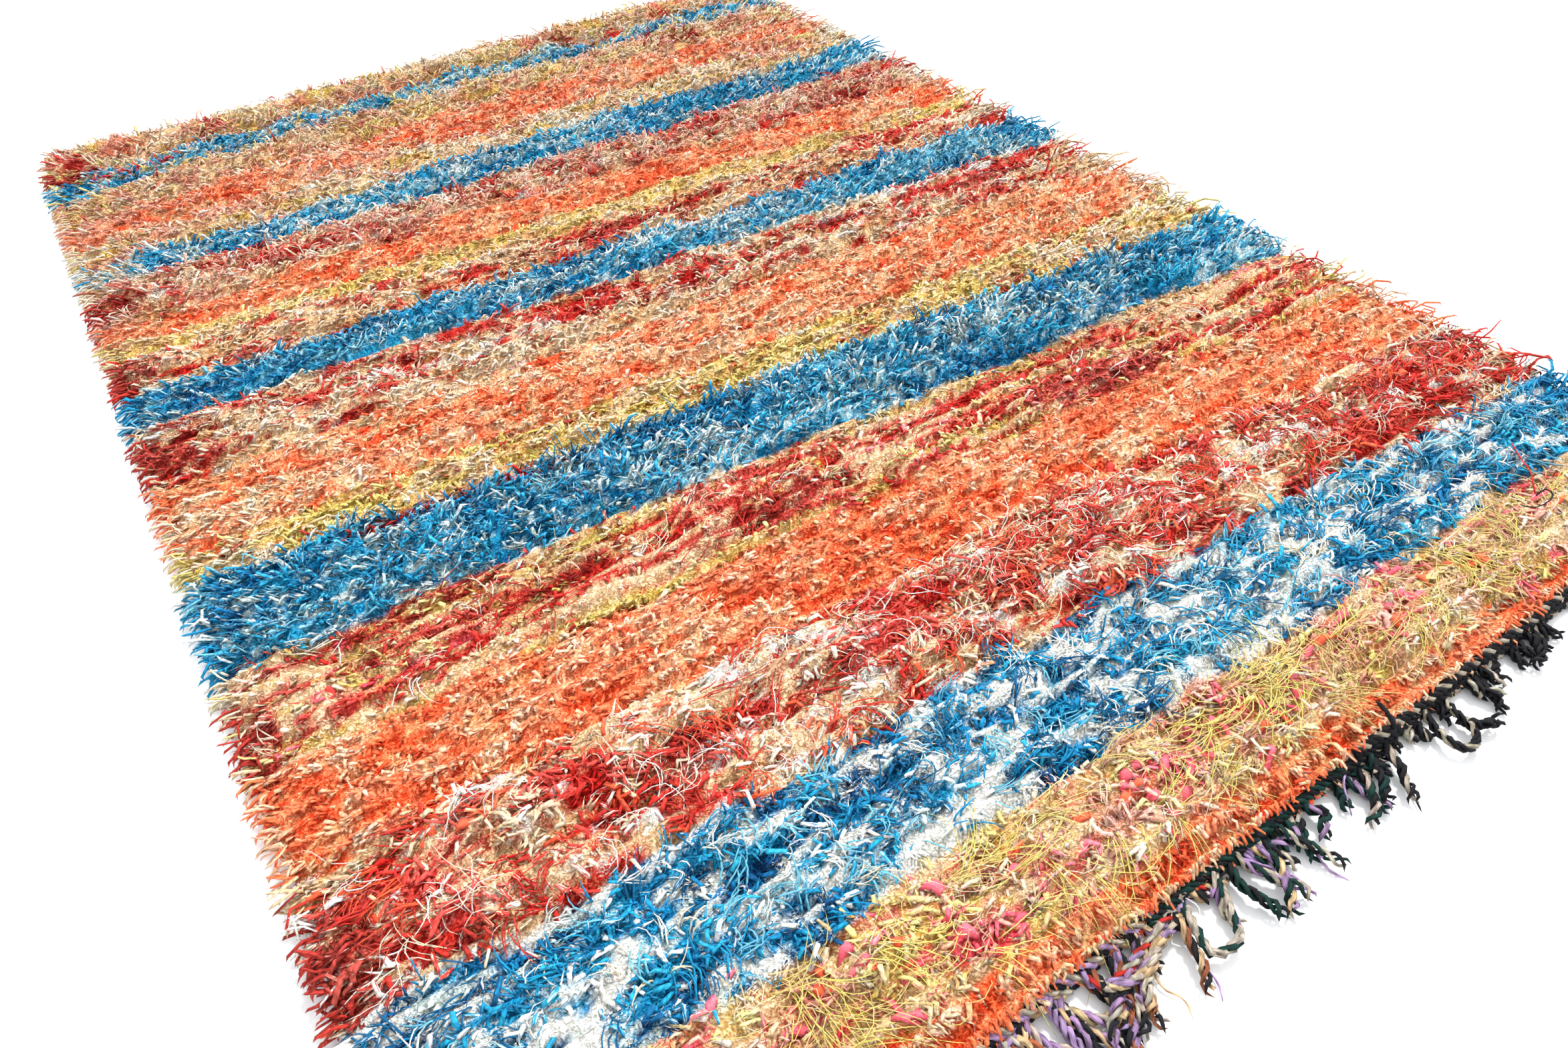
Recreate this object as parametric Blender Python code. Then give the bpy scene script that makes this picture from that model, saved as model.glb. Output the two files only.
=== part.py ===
"""A striped shag rug that lies flat on the floor, with its warp ends left as a fringe at one end.

Metres, +Z up. +X runs across the rug, along its stripes. +Y runs along its length, from the
fringed end to the plain end. The origin is under the middle of the whole rug, at floor level.
"""

import math
import random

import bmesh
import bpy
from mathutils import Vector, noise

# Driving sizes
PILE_WIDTH = 1.756  # across the pile, between the roots of the side locks
PILE_LENGTH = 2.486  # from the fringed end of the pile to the roots of the far locks
RIM_HEIGHT = 0.019  # the pile where it ends, all round
SHOULDER = 0.055  # how far in the pile reaches its full height
CORNER_INSET = 0.022  # how much the pile draws in at each corner
SIDE_WANDER = 0.004  # how far the side edges wander
ROW_PITCH = 0.041  # one row of faces along the length
COLUMNS = 44  # faces across the width
WANDERS_PER_METRE = 6.0
GROOVE_DEPTH = 0.005  # the pile parts a little where two stripes meet
LUMPS_PER_METRE = (7.0, 9.0)  # broad lumps, across and along
CLUMPS_PER_METRE = (17.0, 20.0)  # clumps of yarn, each with a height of its own
LUMP_SHARE = 1.2  # how much of a stripe's lumps is broad lumps, and how much is clumps
CLUMP_SHARE = 0.75
LEAST_RISE = 0.006  # of the pile over its rim

LOCK_REACH = (0.010, 0.027)  # shortest and longest lock at the rim
LOCK_SKEW = 0.012  # how far a lock may lean along the edge
# A lock's middle and tip, as shares of its reach, its root's width and the rim's height.
LOCK_COLUMNS = ("reach", "width", "height")
LOCK_SECTIONS = [
    (0.5, 0.62, 0.72),
    (1.0, 0.16, 0.18),
]

STRIP_DEPTH = 0.013  # the band of warp ends that the fringe grows from
STRIP_HEIGHT = 0.0095
STRIP_WIDTH = 1.715
SEAM = 0.0003  # between the pile and the strip
STRANDS = 96
STRANDS_IN_A_BUNCH = 4
STRAND_RADIUS = 0.0046
STRAND_ROOT_SHARE = 1.15  # a root is a little wider than its strand
STRAND_TIP_SHARE = 0.62
STRAND_LENGTH = (0.052, 0.082)
STRAND_STEPS = 4
STRAND_TWIST = math.radians(32)  # turn of the section at each step
BUNCH_PITCH = 0.0118  # between strands at the tip of a bunch
BUNCH_SWAY = 0.011
BUNCH_CURL = math.radians(144)  # how much of a wave a bunch bends through

SEED = 7

# One row for each stripe, from the fringed end. The edge columns are the distance from the
# fringed end to the stripe's far edge, at the left side, in the middle and at the right side.
# height is the pile's, and lumps is how far its lumps rise or fall.
STRIPE_COLUMNS = ("name", "edge_left", "edge_middle", "edge_right", "height", "lumps")
STRIPES = [
    ("orange_end", 0.045, 0.040, 0.036, 0.031, 0.004),
    ("straw_tangle", 0.150, 0.146, 0.128, 0.038, 0.008),
    ("blue_and_white", 0.318, 0.298, 0.254, 0.036, 0.006),
    ("red_tangle", 0.500, 0.470, 0.405, 0.042, 0.009),
    ("orange_four", 0.648, 0.612, 0.548, 0.034, 0.004),
    ("thin_rows", 0.808, 0.756, 0.704, 0.035, 0.006),
    ("blue_four", 0.985, 0.915, 0.845, 0.042, 0.005),
    ("straw_three", 1.055, 1.010, 0.965, 0.034, 0.005),
    ("orange_three", 1.214, 1.174, 1.117, 0.034, 0.004),
    ("red_three", 1.370, 1.318, 1.260, 0.038, 0.008),
    ("blue_three", 1.468, 1.434, 1.385, 0.040, 0.005),
    ("red_two", 1.590, 1.545, 1.512, 0.036, 0.007),
    ("straw_two", 1.638, 1.606, 1.564, 0.033, 0.005),
    ("orange_two", 1.698, 1.704, 1.662, 0.034, 0.004),
    ("brown_tangle", 1.850, 1.825, 1.805, 0.040, 0.009),
    ("blue_two", 1.940, 1.953, 1.930, 0.037, 0.006),
    ("cream_rows", 2.050, 2.072, 2.078, 0.036, 0.006),
    ("orange_one", 2.150, 2.210, 2.160, 0.037, 0.006),
    ("straw_one", 2.268, 2.330, 2.304, 0.038, 0.007),
    ("blue_one", 2.392, 2.412, 2.396, 0.036, 0.006),
    ("far_end", 2.486, 2.486, 2.486, 0.038, 0.009),
]


def stripe_table():
    """The stripes as dictionaries, with the names of the columns."""
    return [dict(zip(STRIPE_COLUMNS, row)) for row in STRIPES]


def edge_at(stripe, across):
    """How far from the fringed end a stripe's far edge is, with across from 0, left, to 1, right."""
    left, middle, right = (stripe["edge_" + k] for k in ("left", "middle", "right"))
    bend = 2 * (left - 2 * middle + right)
    slope = right - left - bend
    return left + slope * across + bend * across * across


def rows_of(stripes):
    """For each line of the grid along the length: the stripe it lies in and its share of that stripe."""
    lines = []
    near = 0.0
    for number, stripe in enumerate(stripes):
        depth = stripe["edge_middle"] - near
        count = max(1, round(depth / ROW_PITCH))
        lines += [(number, step / count) for step in range(count)]
        near = stripe["edge_middle"]
    lines.append((len(stripes) - 1, 1.0))
    return lines


def place_on_rug(stripes, line, across):
    """x and the distance from the fringed end, for a line of the grid and a share of the width."""
    number, share = line
    far = edge_at(stripes[number], across)
    near = edge_at(stripes[number - 1], across) if number else 0.0
    along = near + share * (far - near)
    to_end = min(along, PILE_LENGTH - along)
    inset = CORNER_INSET * max(0.0, 1 - to_end / SHOULDER) ** 2
    side = math.copysign(1, across - 0.5)
    wander = SIDE_WANDER * noise.noise(Vector((side, along * WANDERS_PER_METRE, 0.0)))
    half = PILE_WIDTH / 2 - inset + wander
    return (across - 0.5) * 2 * half, along


def pile_height(stripes, line, x, along):
    """Height of the pile: its stripe's own height, parted at the stripe's edges, with lumps."""
    number, share = line
    stripe = stripes[number]
    height = stripe["height"]
    if share in (0.0, 1.0):
        before = stripes[max(0, number - 1)]["height"]
        height = (height + before) / 2 - GROOVE_DEPTH
    lump = noise.noise(Vector((x * LUMPS_PER_METRE[0], along * LUMPS_PER_METRE[1], 0.4)))
    clump = noise.cell(Vector((x * CLUMPS_PER_METRE[0], along * CLUMPS_PER_METRE[1], 0.5)))
    height += stripe["lumps"] * (LUMP_SHARE * lump + CLUMP_SHARE * clump)
    to_rim = min(PILE_WIDTH / 2 - abs(x), along, PILE_LENGTH - along)
    full = min(1.0, max(0.0, to_rim) / SHOULDER)
    full = full * (2 - full)
    return RIM_HEIGHT + max(height - RIM_HEIGHT, LEAST_RISE) * full


def add_lock(bm, wall, outward, dice):
    """Draws one wall face out into a tapering lock that lies on the floor."""
    reach = dice.uniform(*LOCK_REACH)
    lean = dice.uniform(-LOCK_SKEW, LOCK_SKEW)
    along_edge = Vector((-outward.y, outward.x, 0.0))
    root = wall.calc_center_median()
    root_width = max((v.co - root).dot(along_edge) for v in wall.verts) * 2
    face = wall
    for row in LOCK_SECTIONS:
        section = dict(zip(LOCK_COLUMNS, row))
        face = bmesh.ops.extrude_discrete_faces(bm, faces=[face])["faces"][0]
        middle = face.calc_center_median()
        for vert in face.verts:
            side = math.copysign(1, (vert.co - middle).dot(along_edge))
            upper = vert.co.z > middle.z
            spot = root + outward * reach * section["reach"]
            spot += along_edge * lean * section["reach"] ** 2
            spot += along_edge * side * root_width * section["width"] / 2
            vert.co = Vector((spot.x, spot.y, RIM_HEIGHT * section["height"] if upper else 0.0))


def round_order(spot):
    """Sorts the wall faces round the rug, so that the locks come out the same each time."""
    return math.atan2(spot.y - PILE_LENGTH / 2, spot.x)


def make_pile(stripes, material, collection):
    """The pile: a lumpy slab, flat underneath, with locks at its two sides and its far end."""
    lines = rows_of(stripes)
    bpy.ops.mesh.primitive_grid_add(x_subdivisions=COLUMNS, y_subdivisions=len(lines) - 1, size=1)
    pile = bpy.context.object
    bm = bmesh.new()
    bm.from_mesh(pile.data)
    for vert in bm.verts:
        across = vert.co.x + 0.5
        line = lines[round((vert.co.y + 0.5) * (len(lines) - 1))]
        x, along = place_on_rug(stripes, line, across)
        vert.co = Vector((x, along, pile_height(stripes, line, x, along)))
    rim = [edge for edge in bm.edges if edge.is_boundary]
    skirt = bmesh.ops.extrude_edge_only(bm, edges=rim)["geom"]
    for vert in [g for g in skirt if isinstance(g, bmesh.types.BMVert)]:
        vert.co.z = 0.0
    walls = [g for g in skirt if isinstance(g, bmesh.types.BMFace)]
    walls.sort(key=lambda face: round_order(face.calc_center_median()))
    bmesh.ops.holes_fill(bm, edges=[e for e in bm.edges if e.is_boundary], sides=0)
    bmesh.ops.recalc_face_normals(bm, faces=bm.faces)
    dice = random.Random(SEED)
    for wall in walls:
        outward = Vector((wall.normal.x, wall.normal.y, 0.0)).normalized()
        if abs(outward.x) > abs(outward.y):
            add_lock(bm, wall, Vector((math.copysign(1, outward.x), 0, 0)), dice)
        elif outward.y > 0:
            add_lock(bm, wall, Vector((0, 1, 0)), dice)
    bm.to_mesh(pile.data)
    bm.free()
    return finish_piece(pile, "shag_pile", material, collection)


def strand_bounds():
    """The x of every cut across the strip: each strand's two sides, from left to right."""
    pitch = STRIP_WIDTH / STRANDS
    half = STRAND_RADIUS * math.cos(math.pi / 4) * STRAND_ROOT_SHARE
    cuts = [-STRIP_WIDTH / 2]
    for number in range(STRANDS):
        middle = -STRIP_WIDTH / 2 + (number + 0.5) * pitch
        cuts += [middle - half, middle + half]
    return cuts + [STRIP_WIDTH / 2]


def strand_route(number, root_x, dice, sway):
    """Centre x and y of a strand at each step, bunched with its neighbours, from the root out."""
    length = dice.uniform(*STRAND_LENGTH)
    place = number % STRANDS_IN_A_BUNCH - (STRANDS_IN_A_BUNCH - 1) / 2
    pitch = STRIP_WIDTH / STRANDS
    bunch_x = root_x - place * pitch
    route = []
    for step in range(1, STRAND_STEPS + 1):
        share = step / STRAND_STEPS
        spread = pitch + (BUNCH_PITCH - pitch) * share
        bend = sway * math.sin(share * BUNCH_CURL)
        route.append((bunch_x + place * spread + bend, -STRIP_DEPTH - length * share))
    return route


def add_strand(bm, face, route):
    """Draws one face of the strip out into a twisted strand of four sides, level on the floor."""
    for step, (x, y) in enumerate(route):
        centre = face.calc_center_median()
        face = bmesh.ops.extrude_discrete_faces(bm, faces=[face])["faces"][0]
        radius = STRAND_RADIUS * (1.0 if step < STRAND_STEPS - 1 else STRAND_TIP_SHARE)
        turns = []
        for vert in face.verts:
            turns.append(math.atan2(vert.co.z - centre.z, vert.co.x - centre.x) + STRAND_TWIST)
        lift = radius * max(abs(math.sin(turn)) for turn in turns)
        for vert, turn in zip(face.verts, turns):
            vert.co = Vector((x + radius * math.cos(turn), y, lift + radius * math.sin(turn)))


def make_fringe(material, collection):
    """The warp ends: a narrow woven strip against the pile's end, with the strands fused to it."""
    cuts = strand_bounds()
    bpy.ops.mesh.primitive_grid_add(x_subdivisions=len(cuts) - 1, y_subdivisions=1, size=1)
    fringe = bpy.context.object
    bm = bmesh.new()
    bm.from_mesh(fringe.data)
    for vert in bm.verts:
        x = cuts[round((vert.co.x + 0.5) * (len(cuts) - 1))]
        vert.co = Vector((x, -SEAM if vert.co.y > 0 else -STRIP_DEPTH, 0.0))
    raised = bmesh.ops.extrude_face_region(bm, geom=list(bm.faces))["geom"]
    for vert in [g for g in raised if isinstance(g, bmesh.types.BMVert)]:
        vert.co.z = STRIP_HEIGHT
    bmesh.ops.recalc_face_normals(bm, faces=bm.faces)
    front = sorted(
        [face for face in bm.faces if face.normal.y < -0.9],
        key=lambda face: face.calc_center_median().x,
    )
    dice = random.Random(SEED + 1)
    sway = 0.0
    for number, face in enumerate(front[1::2]):
        if number % STRANDS_IN_A_BUNCH == 0:
            sway = dice.uniform(-BUNCH_SWAY, BUNCH_SWAY)
        root_x = face.calc_center_median().x
        add_strand(bm, face, strand_route(number, root_x, dice, sway))
    bm.to_mesh(fringe.data)
    bm.free()
    return finish_piece(fringe, "warp_fringe", material, collection)


def finish_piece(piece, name, material, collection):
    """Names a piece, gives it its material and puts it in the rug's collection."""
    piece.name = name
    piece.data.name = name
    piece.data.materials.append(material)
    for old in list(piece.users_collection):
        old.objects.unlink(piece)
    collection.objects.link(piece)
    return piece


def make_material(name, colour, roughness):
    """A plain cloth material."""
    material = bpy.data.materials.new(name)
    material.use_nodes = True
    shader = material.node_tree.nodes["Principled BSDF"]
    shader.inputs["Base Color"].default_value = (*colour, 1.0)
    shader.inputs["Roughness"].default_value = roughness
    shader.inputs["Metallic"].default_value = 0.0
    return material


def put_origin_under(pieces):
    """Moves the meshes so that the origin is under the middle of the whole rug."""
    xs = [v.co.x for piece in pieces for v in piece.data.vertices]
    ys = [v.co.y for piece in pieces for v in piece.data.vertices]
    middle = Vector(((min(xs) + max(xs)) / 2, (min(ys) + max(ys)) / 2, 0.0))
    for piece in pieces:
        for vert in piece.data.vertices:
            vert.co -= middle


def main():
    for old in list(bpy.data.objects):
        bpy.data.objects.remove(old)
    collection = bpy.data.collections.new("shag_rug")
    bpy.context.scene.collection.children.link(collection)
    pile_yarn = make_material("pile_yarn", (0.72, 0.42, 0.27), 0.92)
    warp_yarn = make_material("warp_yarn", (0.045, 0.045, 0.055), 0.85)
    pile = make_pile(stripe_table(), pile_yarn, collection)
    fringe = make_fringe(warp_yarn, collection)
    put_origin_under([pile, fringe])


main()
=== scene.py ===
import math

import bpy
import numpy as np
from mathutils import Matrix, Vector
from mathutils.bvhtree import BVHTree


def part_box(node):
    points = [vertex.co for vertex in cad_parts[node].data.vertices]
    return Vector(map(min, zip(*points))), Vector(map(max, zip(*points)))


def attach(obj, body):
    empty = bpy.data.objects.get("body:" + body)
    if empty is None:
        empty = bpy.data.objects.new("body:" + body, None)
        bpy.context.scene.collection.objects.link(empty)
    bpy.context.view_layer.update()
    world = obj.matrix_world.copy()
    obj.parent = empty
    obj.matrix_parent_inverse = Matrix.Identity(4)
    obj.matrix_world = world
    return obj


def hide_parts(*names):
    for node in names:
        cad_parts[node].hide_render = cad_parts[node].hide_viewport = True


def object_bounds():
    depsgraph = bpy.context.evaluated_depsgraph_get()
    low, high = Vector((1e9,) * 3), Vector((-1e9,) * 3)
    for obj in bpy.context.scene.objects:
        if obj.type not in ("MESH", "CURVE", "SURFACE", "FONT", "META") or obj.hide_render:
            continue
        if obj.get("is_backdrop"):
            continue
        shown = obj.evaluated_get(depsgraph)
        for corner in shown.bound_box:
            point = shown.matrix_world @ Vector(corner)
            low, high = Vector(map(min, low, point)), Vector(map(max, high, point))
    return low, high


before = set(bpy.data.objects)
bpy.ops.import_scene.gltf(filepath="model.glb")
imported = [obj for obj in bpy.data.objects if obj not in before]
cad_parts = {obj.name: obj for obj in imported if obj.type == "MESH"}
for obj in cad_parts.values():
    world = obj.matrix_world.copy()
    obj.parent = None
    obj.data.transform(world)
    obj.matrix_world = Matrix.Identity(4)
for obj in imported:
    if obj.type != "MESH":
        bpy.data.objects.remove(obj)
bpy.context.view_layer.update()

# Floor, light and camera
# The rug lies on a plain pale floor in soft studio light. The camera stands about a metre above
# its near left corner with a wide lens, looking down and across it, and is tipped a little.
PILE_LOW, PILE_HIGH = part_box("shag_pile")
FRINGED_END = PILE_LOW.y
PILE_TOP = 0.038
CORNER = Vector((-0.900, FRINGED_END, PILE_TOP))  # the near left corner, at the top of the pile
CAMERA_FROM_CORNER = Vector((0.184, -0.219, 0.954))
CAMERA_TURN = [math.radians(turn) for turn in (46.0, 2.32, -33.46)]
CAMERA_LENS = 24.285
CAMERA_SENSOR = 36
FLOOR_SIZE = 24.0
FLOOR_HEIGHT = -0.0005
FLOOR_COLOUR = (0.86, 0.86, 0.86, 1)
KEY_PLACE = (1, -1, 3)
KEY_TURN = [math.radians(turn) for turn in (-22, 34, 0)]
KEY_STRENGTH = 4.6
KEY_WIDTH = math.radians(12)
SKY_STRENGTH = 1.45
SKY_COLOUR = (0.96, 0.98, 1, 1)

bpy.ops.object.select_all(action="DESELECT")
bpy.ops.object.camera_add(location=CORNER + CAMERA_FROM_CORNER, rotation=CAMERA_TURN)
camera = bpy.context.object
camera.data.lens = CAMERA_LENS
camera.data.sensor_width = CAMERA_SENSOR
bpy.context.scene.camera = camera

bpy.ops.object.light_add(type="SUN", location=KEY_PLACE, rotation=KEY_TURN)
key = bpy.context.object
key.data.energy = KEY_STRENGTH
key.data.angle = KEY_WIDTH

world = bpy.data.worlds.new("studio")
world.use_nodes = True
sky = world.node_tree.nodes["Background"]
sky.inputs["Color"].default_value = SKY_COLOUR
sky.inputs["Strength"].default_value = SKY_STRENGTH
bpy.context.scene.world = world
bpy.context.scene.view_settings.view_transform = "Standard"


def new_material(name, roughness, gloss=0.5):
    """A material, its node tree and its shader. Gloss is the shader's specular level."""
    material = bpy.data.materials.new(name)
    material.use_nodes = True
    shader = material.node_tree.nodes["Principled BSDF"]
    shader.inputs["Roughness"].default_value = roughness
    shader.inputs["Specular IOR Level"].default_value = gloss
    return material, material.node_tree, shader


bpy.ops.mesh.primitive_plane_add(size=FLOOR_SIZE, location=(0, 0, FLOOR_HEIGHT))
floor = bpy.context.object
floor.name = "floor"
floor_paint, _, shader = new_material("floor_paint", roughness=0.9)
shader.inputs["Base Color"].default_value = FLOOR_COLOUR
floor.data.materials.append(floor_paint)
floor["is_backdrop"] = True

# Ground weave
# Plain woven cotton, about 3 mm thick, that every tuft is knotted into. Only its underside shows,
# where the backs of the knots give it the stripes' colours.
GROUND_WIDTH = 1.740
GROUND_LENGTH = 2.474
GROUND_THICKNESS = 0.003
GROUND_SHIFT = 0.010  # from the middle of the pile towards the fringed end
GROUND_CORNER = 0.030  # how far the corners draw in
CORNER_DEPTH = 0.055  # how far from an end they start to
GROUND_CELLS = (46, 65)
WOBBLE = 0.009  # how far a stripe's edge strays
WOBBLE_PITCH = 0.11
FIELD_PITCH = (0.14, 0.05)  # of the wide fields where one yarn prevails
FIELD_WEIGHT = 0.8
RAGGED_PITCH = (0.016, 0.010)  # of the uneven edges of clumps
DYES_IN_A_MIX = 8  # the most

# Dyes as they look in daylight, from 0 to 255.
DYES = {
    "blue": (16, 134, 182),
    "deep_blue": (6, 86, 132),
    "sky": (104, 178, 204),
    "pale": (214, 225, 220),
    "orange": (254, 118, 72),
    "coral": (232, 86, 50),
    "peach": (242, 190, 152),
    "cream": (230, 212, 184),
    "tan": (218, 182, 138),
    "straw": (224, 202, 122),
    "lemon": (230, 214, 112),
    "red": (212, 50, 40),
    "dark_red": (170, 46, 36),
    "pink": (244, 92, 108),
    "rose": (226, 158, 138),
    "white": (238, 236, 228),
    "brown": (156, 88, 58),
    "black": (24, 24, 30),
    "green": (12, 54, 48),
    "lilac": (172, 140, 184),
    "ecru": (196, 184, 166),
}

# One row for each stripe, from the fringed end. The edges are the distance from that end to the
# stripe's far edge, at the left side, in the middle and at the right side. Patches of one colour
# are about as wide and deep as patch_x and patch_y, and stand out as much as patchy says. length
# is that of the cut yarn, in metres like the rest, and steep how far it rises at its root, in
# degrees. Each dye in yarns has its weight in the mix.
STRIPE_COLUMNS = (
    "name", "edge_left", "edge_middle", "edge_right", "patch_x", "patch_y", "patchy", "length",
    "steep", "yarns",
)
STRIPES = [
    ("orange_end", 0.045, 0.040, 0.036, 0.016, 0.012, 2.0, 0.019, 45,
     {"orange": 6.4, "peach": 2.6, "tan": 1.2, "coral": 0.6}),
    ("straw_tangle", 0.150, 0.146, 0.128, 0.034, 0.024, 2.4, 0.024, 40,
     {"cream": 6, "tan": 3.2, "rose": 2.6, "pink": 1.4, "straw": 3.0, "ecru": 1.6}),
    ("blue_and_white", 0.318, 0.298, 0.254, 0.032, 0.012, 3.2, 0.024, 45,
     {"blue": 5, "deep_blue": 1.5, "white": 5, "pale": 1}),
    ("red_tangle", 0.500, 0.470, 0.405, 0.040, 0.020, 2.6, 0.027, 45,
     {"cream": 5, "white": 2, "red": 3.5, "dark_red": 1.2, "coral": 1, "tan": 1.2}),
    ("orange_four", 0.648, 0.612, 0.548, 0.018, 0.014, 2.0, 0.015, 42,
     {"orange": 6, "peach": 5, "coral": 1}),
    ("thin_rows", 0.808, 0.756, 0.704, 0.240, 0.009, 3.2, 0.018, 40,
     {"cream": 5, "straw": 2, "red": 2, "dark_red": 1.5, "tan": 2, "pink": 0.3}),
    ("blue_four", 0.985, 0.915, 0.845, 0.012, 0.009, 1.5, 0.026, 68,
     {"blue": 7, "deep_blue": 1.1, "pale": 4.0, "sky": 2.2}),
    ("straw_three", 1.055, 1.010, 0.965, 0.030, 0.012, 2.2, 0.018, 42,
     {"straw": 5, "tan": 2, "cream": 3, "dark_red": 0.6, "coral": 0.4}),
    ("orange_three", 1.214, 1.174, 1.117, 0.020, 0.014, 2.0, 0.016, 42,
     {"orange": 4.5, "peach": 6, "cream": 2}),
    ("red_three", 1.370, 1.318, 1.260, 0.050, 0.016, 2.6, 0.019, 42,
     {"cream": 6, "red": 2.5, "dark_red": 1, "white": 1, "tan": 2}),
    ("blue_three", 1.468, 1.434, 1.385, 0.012, 0.009, 1.5, 0.023, 62,
     {"blue": 6, "deep_blue": 1.6, "pale": 2.6, "sky": 2.2}),
    ("red_two", 1.590, 1.545, 1.512, 0.050, 0.014, 2.6, 0.019, 42,
     {"cream": 6, "red": 2.2, "dark_red": 1.6, "tan": 2, "peach": 1}),
    ("straw_two", 1.638, 1.606, 1.564, 0.030, 0.012, 2.0, 0.017, 40,
     {"straw": 5, "tan": 2, "cream": 2, "peach": 1}),
    ("orange_two", 1.698, 1.704, 1.662, 0.022, 0.012, 2.0, 0.016, 42,
     {"orange": 6.5, "peach": 4, "cream": 0.6}),
    ("brown_tangle", 1.862, 1.825, 1.828, 0.036, 0.018, 2.4, 0.022, 50,
     {"cream": 5, "rose": 4.4, "brown": 0.2, "dark_red": 1.2, "tan": 2, "white": 1, "red": 1.6}),
    ("blue_two", 1.946, 1.953, 1.962, 0.014, 0.010, 1.8, 0.022, 60,
     {"blue": 6, "deep_blue": 1, "pale": 2.4, "sky": 1.5}),
    ("cream_rows", 2.034, 2.068, 2.090, 0.060, 0.014, 2.4, 0.020, 48,
     {"cream": 5, "tan": 2, "rose": 2.4, "white": 1, "straw": 2, "brown": 0.3}),
    ("orange_one", 2.140, 2.205, 2.185, 0.024, 0.014, 2.0, 0.018, 48,
     {"orange": 5, "peach": 4, "rose": 2, "cream": 1}),
    ("straw_one", 2.268, 2.330, 2.304, 0.034, 0.014, 2.2, 0.021, 52,
     {"cream": 4, "straw": 2.6, "tan": 2.4, "rose": 3, "brown": 0.2, "dark_red": 0.4}),
    ("blue_one", 2.392, 2.412, 2.396, 0.020, 0.012, 2.2, 0.021, 55,
     {"blue": 7, "sky": 2, "pale": 2.4, "straw": 1.6, "cream": 1}),
    ("far_end", 2.500, 2.500, 2.500, 0.040, 0.024, 2.4, 0.024, 52,
     {"tan": 3.4, "cream": 5, "rose": 3, "straw": 2, "ecru": 1.5, "red": 0.4}),
]
CHART = [dict(zip(STRIPE_COLUMNS, row)) for row in STRIPES]
# Clumps of another dye: from the left side, from the fringed end, half the size each way, dye.
# In millimetres.
CLUMPS = [
    (250, 772, 240, 5, "dark_red"), (620, 742, 260, 5, "red"), (980, 700, 260, 6, "red"),
    (1300, 672, 200, 6, "dark_red"), (500, 705, 300, 5, "red"), (40, 380, 60, 50, "dark_red"),
    (120, 420, 50, 30, "red"), (310, 440, 50, 20, "red"), (430, 390, 50, 30, "dark_red"),
    (720, 420, 70, 25, "red"), (860, 380, 50, 30, "dark_red"), (1220, 400, 80, 20, "cream"),
    (1500, 310, 120, 25, "red"), (1620, 360, 80, 25, "red"), (1750, 380, 50, 20, "dark_red"),
    (30, 690, 40, 50, "dark_red"), (380, 715, 140, 8, "dark_red"), (200, 680, 120, 7, "red"),
    (720, 665, 100, 25, "dark_red"), (700, 735, 160, 8, "red"), (1050, 655, 120, 12, "red"),
    (1330, 610, 80, 22, "dark_red"), (1620, 590, 120, 12, "red"), (300, 945, 120, 10, "dark_red"),
    (450, 930, 100, 7, "red"), (60, 1280, 60, 50, "dark_red"), (520, 1325, 100, 18, "red"),
    (720, 1280, 120, 28, "red"), (860, 1230, 60, 20, "dark_red"), (1220, 1250, 100, 16, "dark_red"),
    (1450, 1236, 300, 10, "red"), (1600, 1208, 180, 11, "dark_red"), (30, 1520, 50, 45, "dark_red"),
    (920, 1485, 140, 18, "dark_red"), (600, 1500, 80, 12, "red"), (1600, 1490, 180, 16, "red"),
    (50, 1770, 70, 50, "dark_red"), (350, 1770, 120, 20, "red"), (1220, 1780, 100, 25, "red"),
    (1560, 1690, 80, 30, "dark_red"), (620, 1740, 120, 15, "rose"), (1700, 1780, 80, 20, "red"),
    (50, 1900, 60, 40, "cream"), (450, 1895, 340, 12, "pale"), (1050, 1900, 200, 10, "pale"),
    (1600, 1880, 100, 10, "pale"), (100, 2120, 100, 20, "rose"), (250, 2020, 120, 20, "rose"),
    (1440, 2250, 70, 30, "dark_red"), (60, 2400, 50, 30, "dark_red"), (200, 2360, 100, 12, "red"),
    (1340, 2400, 60, 18, "red"), (80, 2450, 40, 30, "red"), (360, 2460, 40, 30, "dark_red"),
    (180, 2460, 50, 30, "rose"), (1140, 2460, 30, 30, "rose"), (1220, 2440, 30, 30, "dark_red"),
    (1500, 2460, 30, 30, "red"), (900, 1390, 400, 12, "pale"), (1500, 1330, 250, 12, "sky"),
]


def daylight(dye):
    """A dye from the table as a linear colour."""
    share = np.array(DYES[dye]) / 255
    return np.where(share > 0.04, ((share + 0.055) / 1.055) ** 2.4, share / 12.92)


def mottle(x, y, pitch_x, pitch_y, seed):
    """Smooth noise from -1 to 1 with patches of about that pitch."""
    size = 256
    lattice = np.random.default_rng(seed).uniform(-1, 1, (size, size))
    u = np.asarray(x) / pitch_x + 61.7
    v = np.asarray(y) / pitch_y + 43.3
    i, j = np.floor(u).astype(int), np.floor(v).astype(int)
    s, t = u - i, v - j
    s, t = s * s * (3 - 2 * s), t * t * (3 - 2 * t)
    near = lattice[i % size, j % size] * (1 - s) + lattice[(i + 1) % size, j % size] * s
    far = lattice[i % size, (j + 1) % size] * (1 - s) + lattice[(i + 1) % size, (j + 1) % size] * s
    return near * (1 - t) + far * t


def stripe_edge(stripe, x):
    """How far a stripe's far edge is from the fringed end, on a curve through its three places."""
    across = (x - CORNER.x) / (-2 * CORNER.x)
    left, middle, right = (stripe["edge_" + side] for side in ("left", "middle", "right"))
    bend = 2 * (left - 2 * middle + right)
    return left + (right - left - bend) * across + bend * across * across


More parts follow.
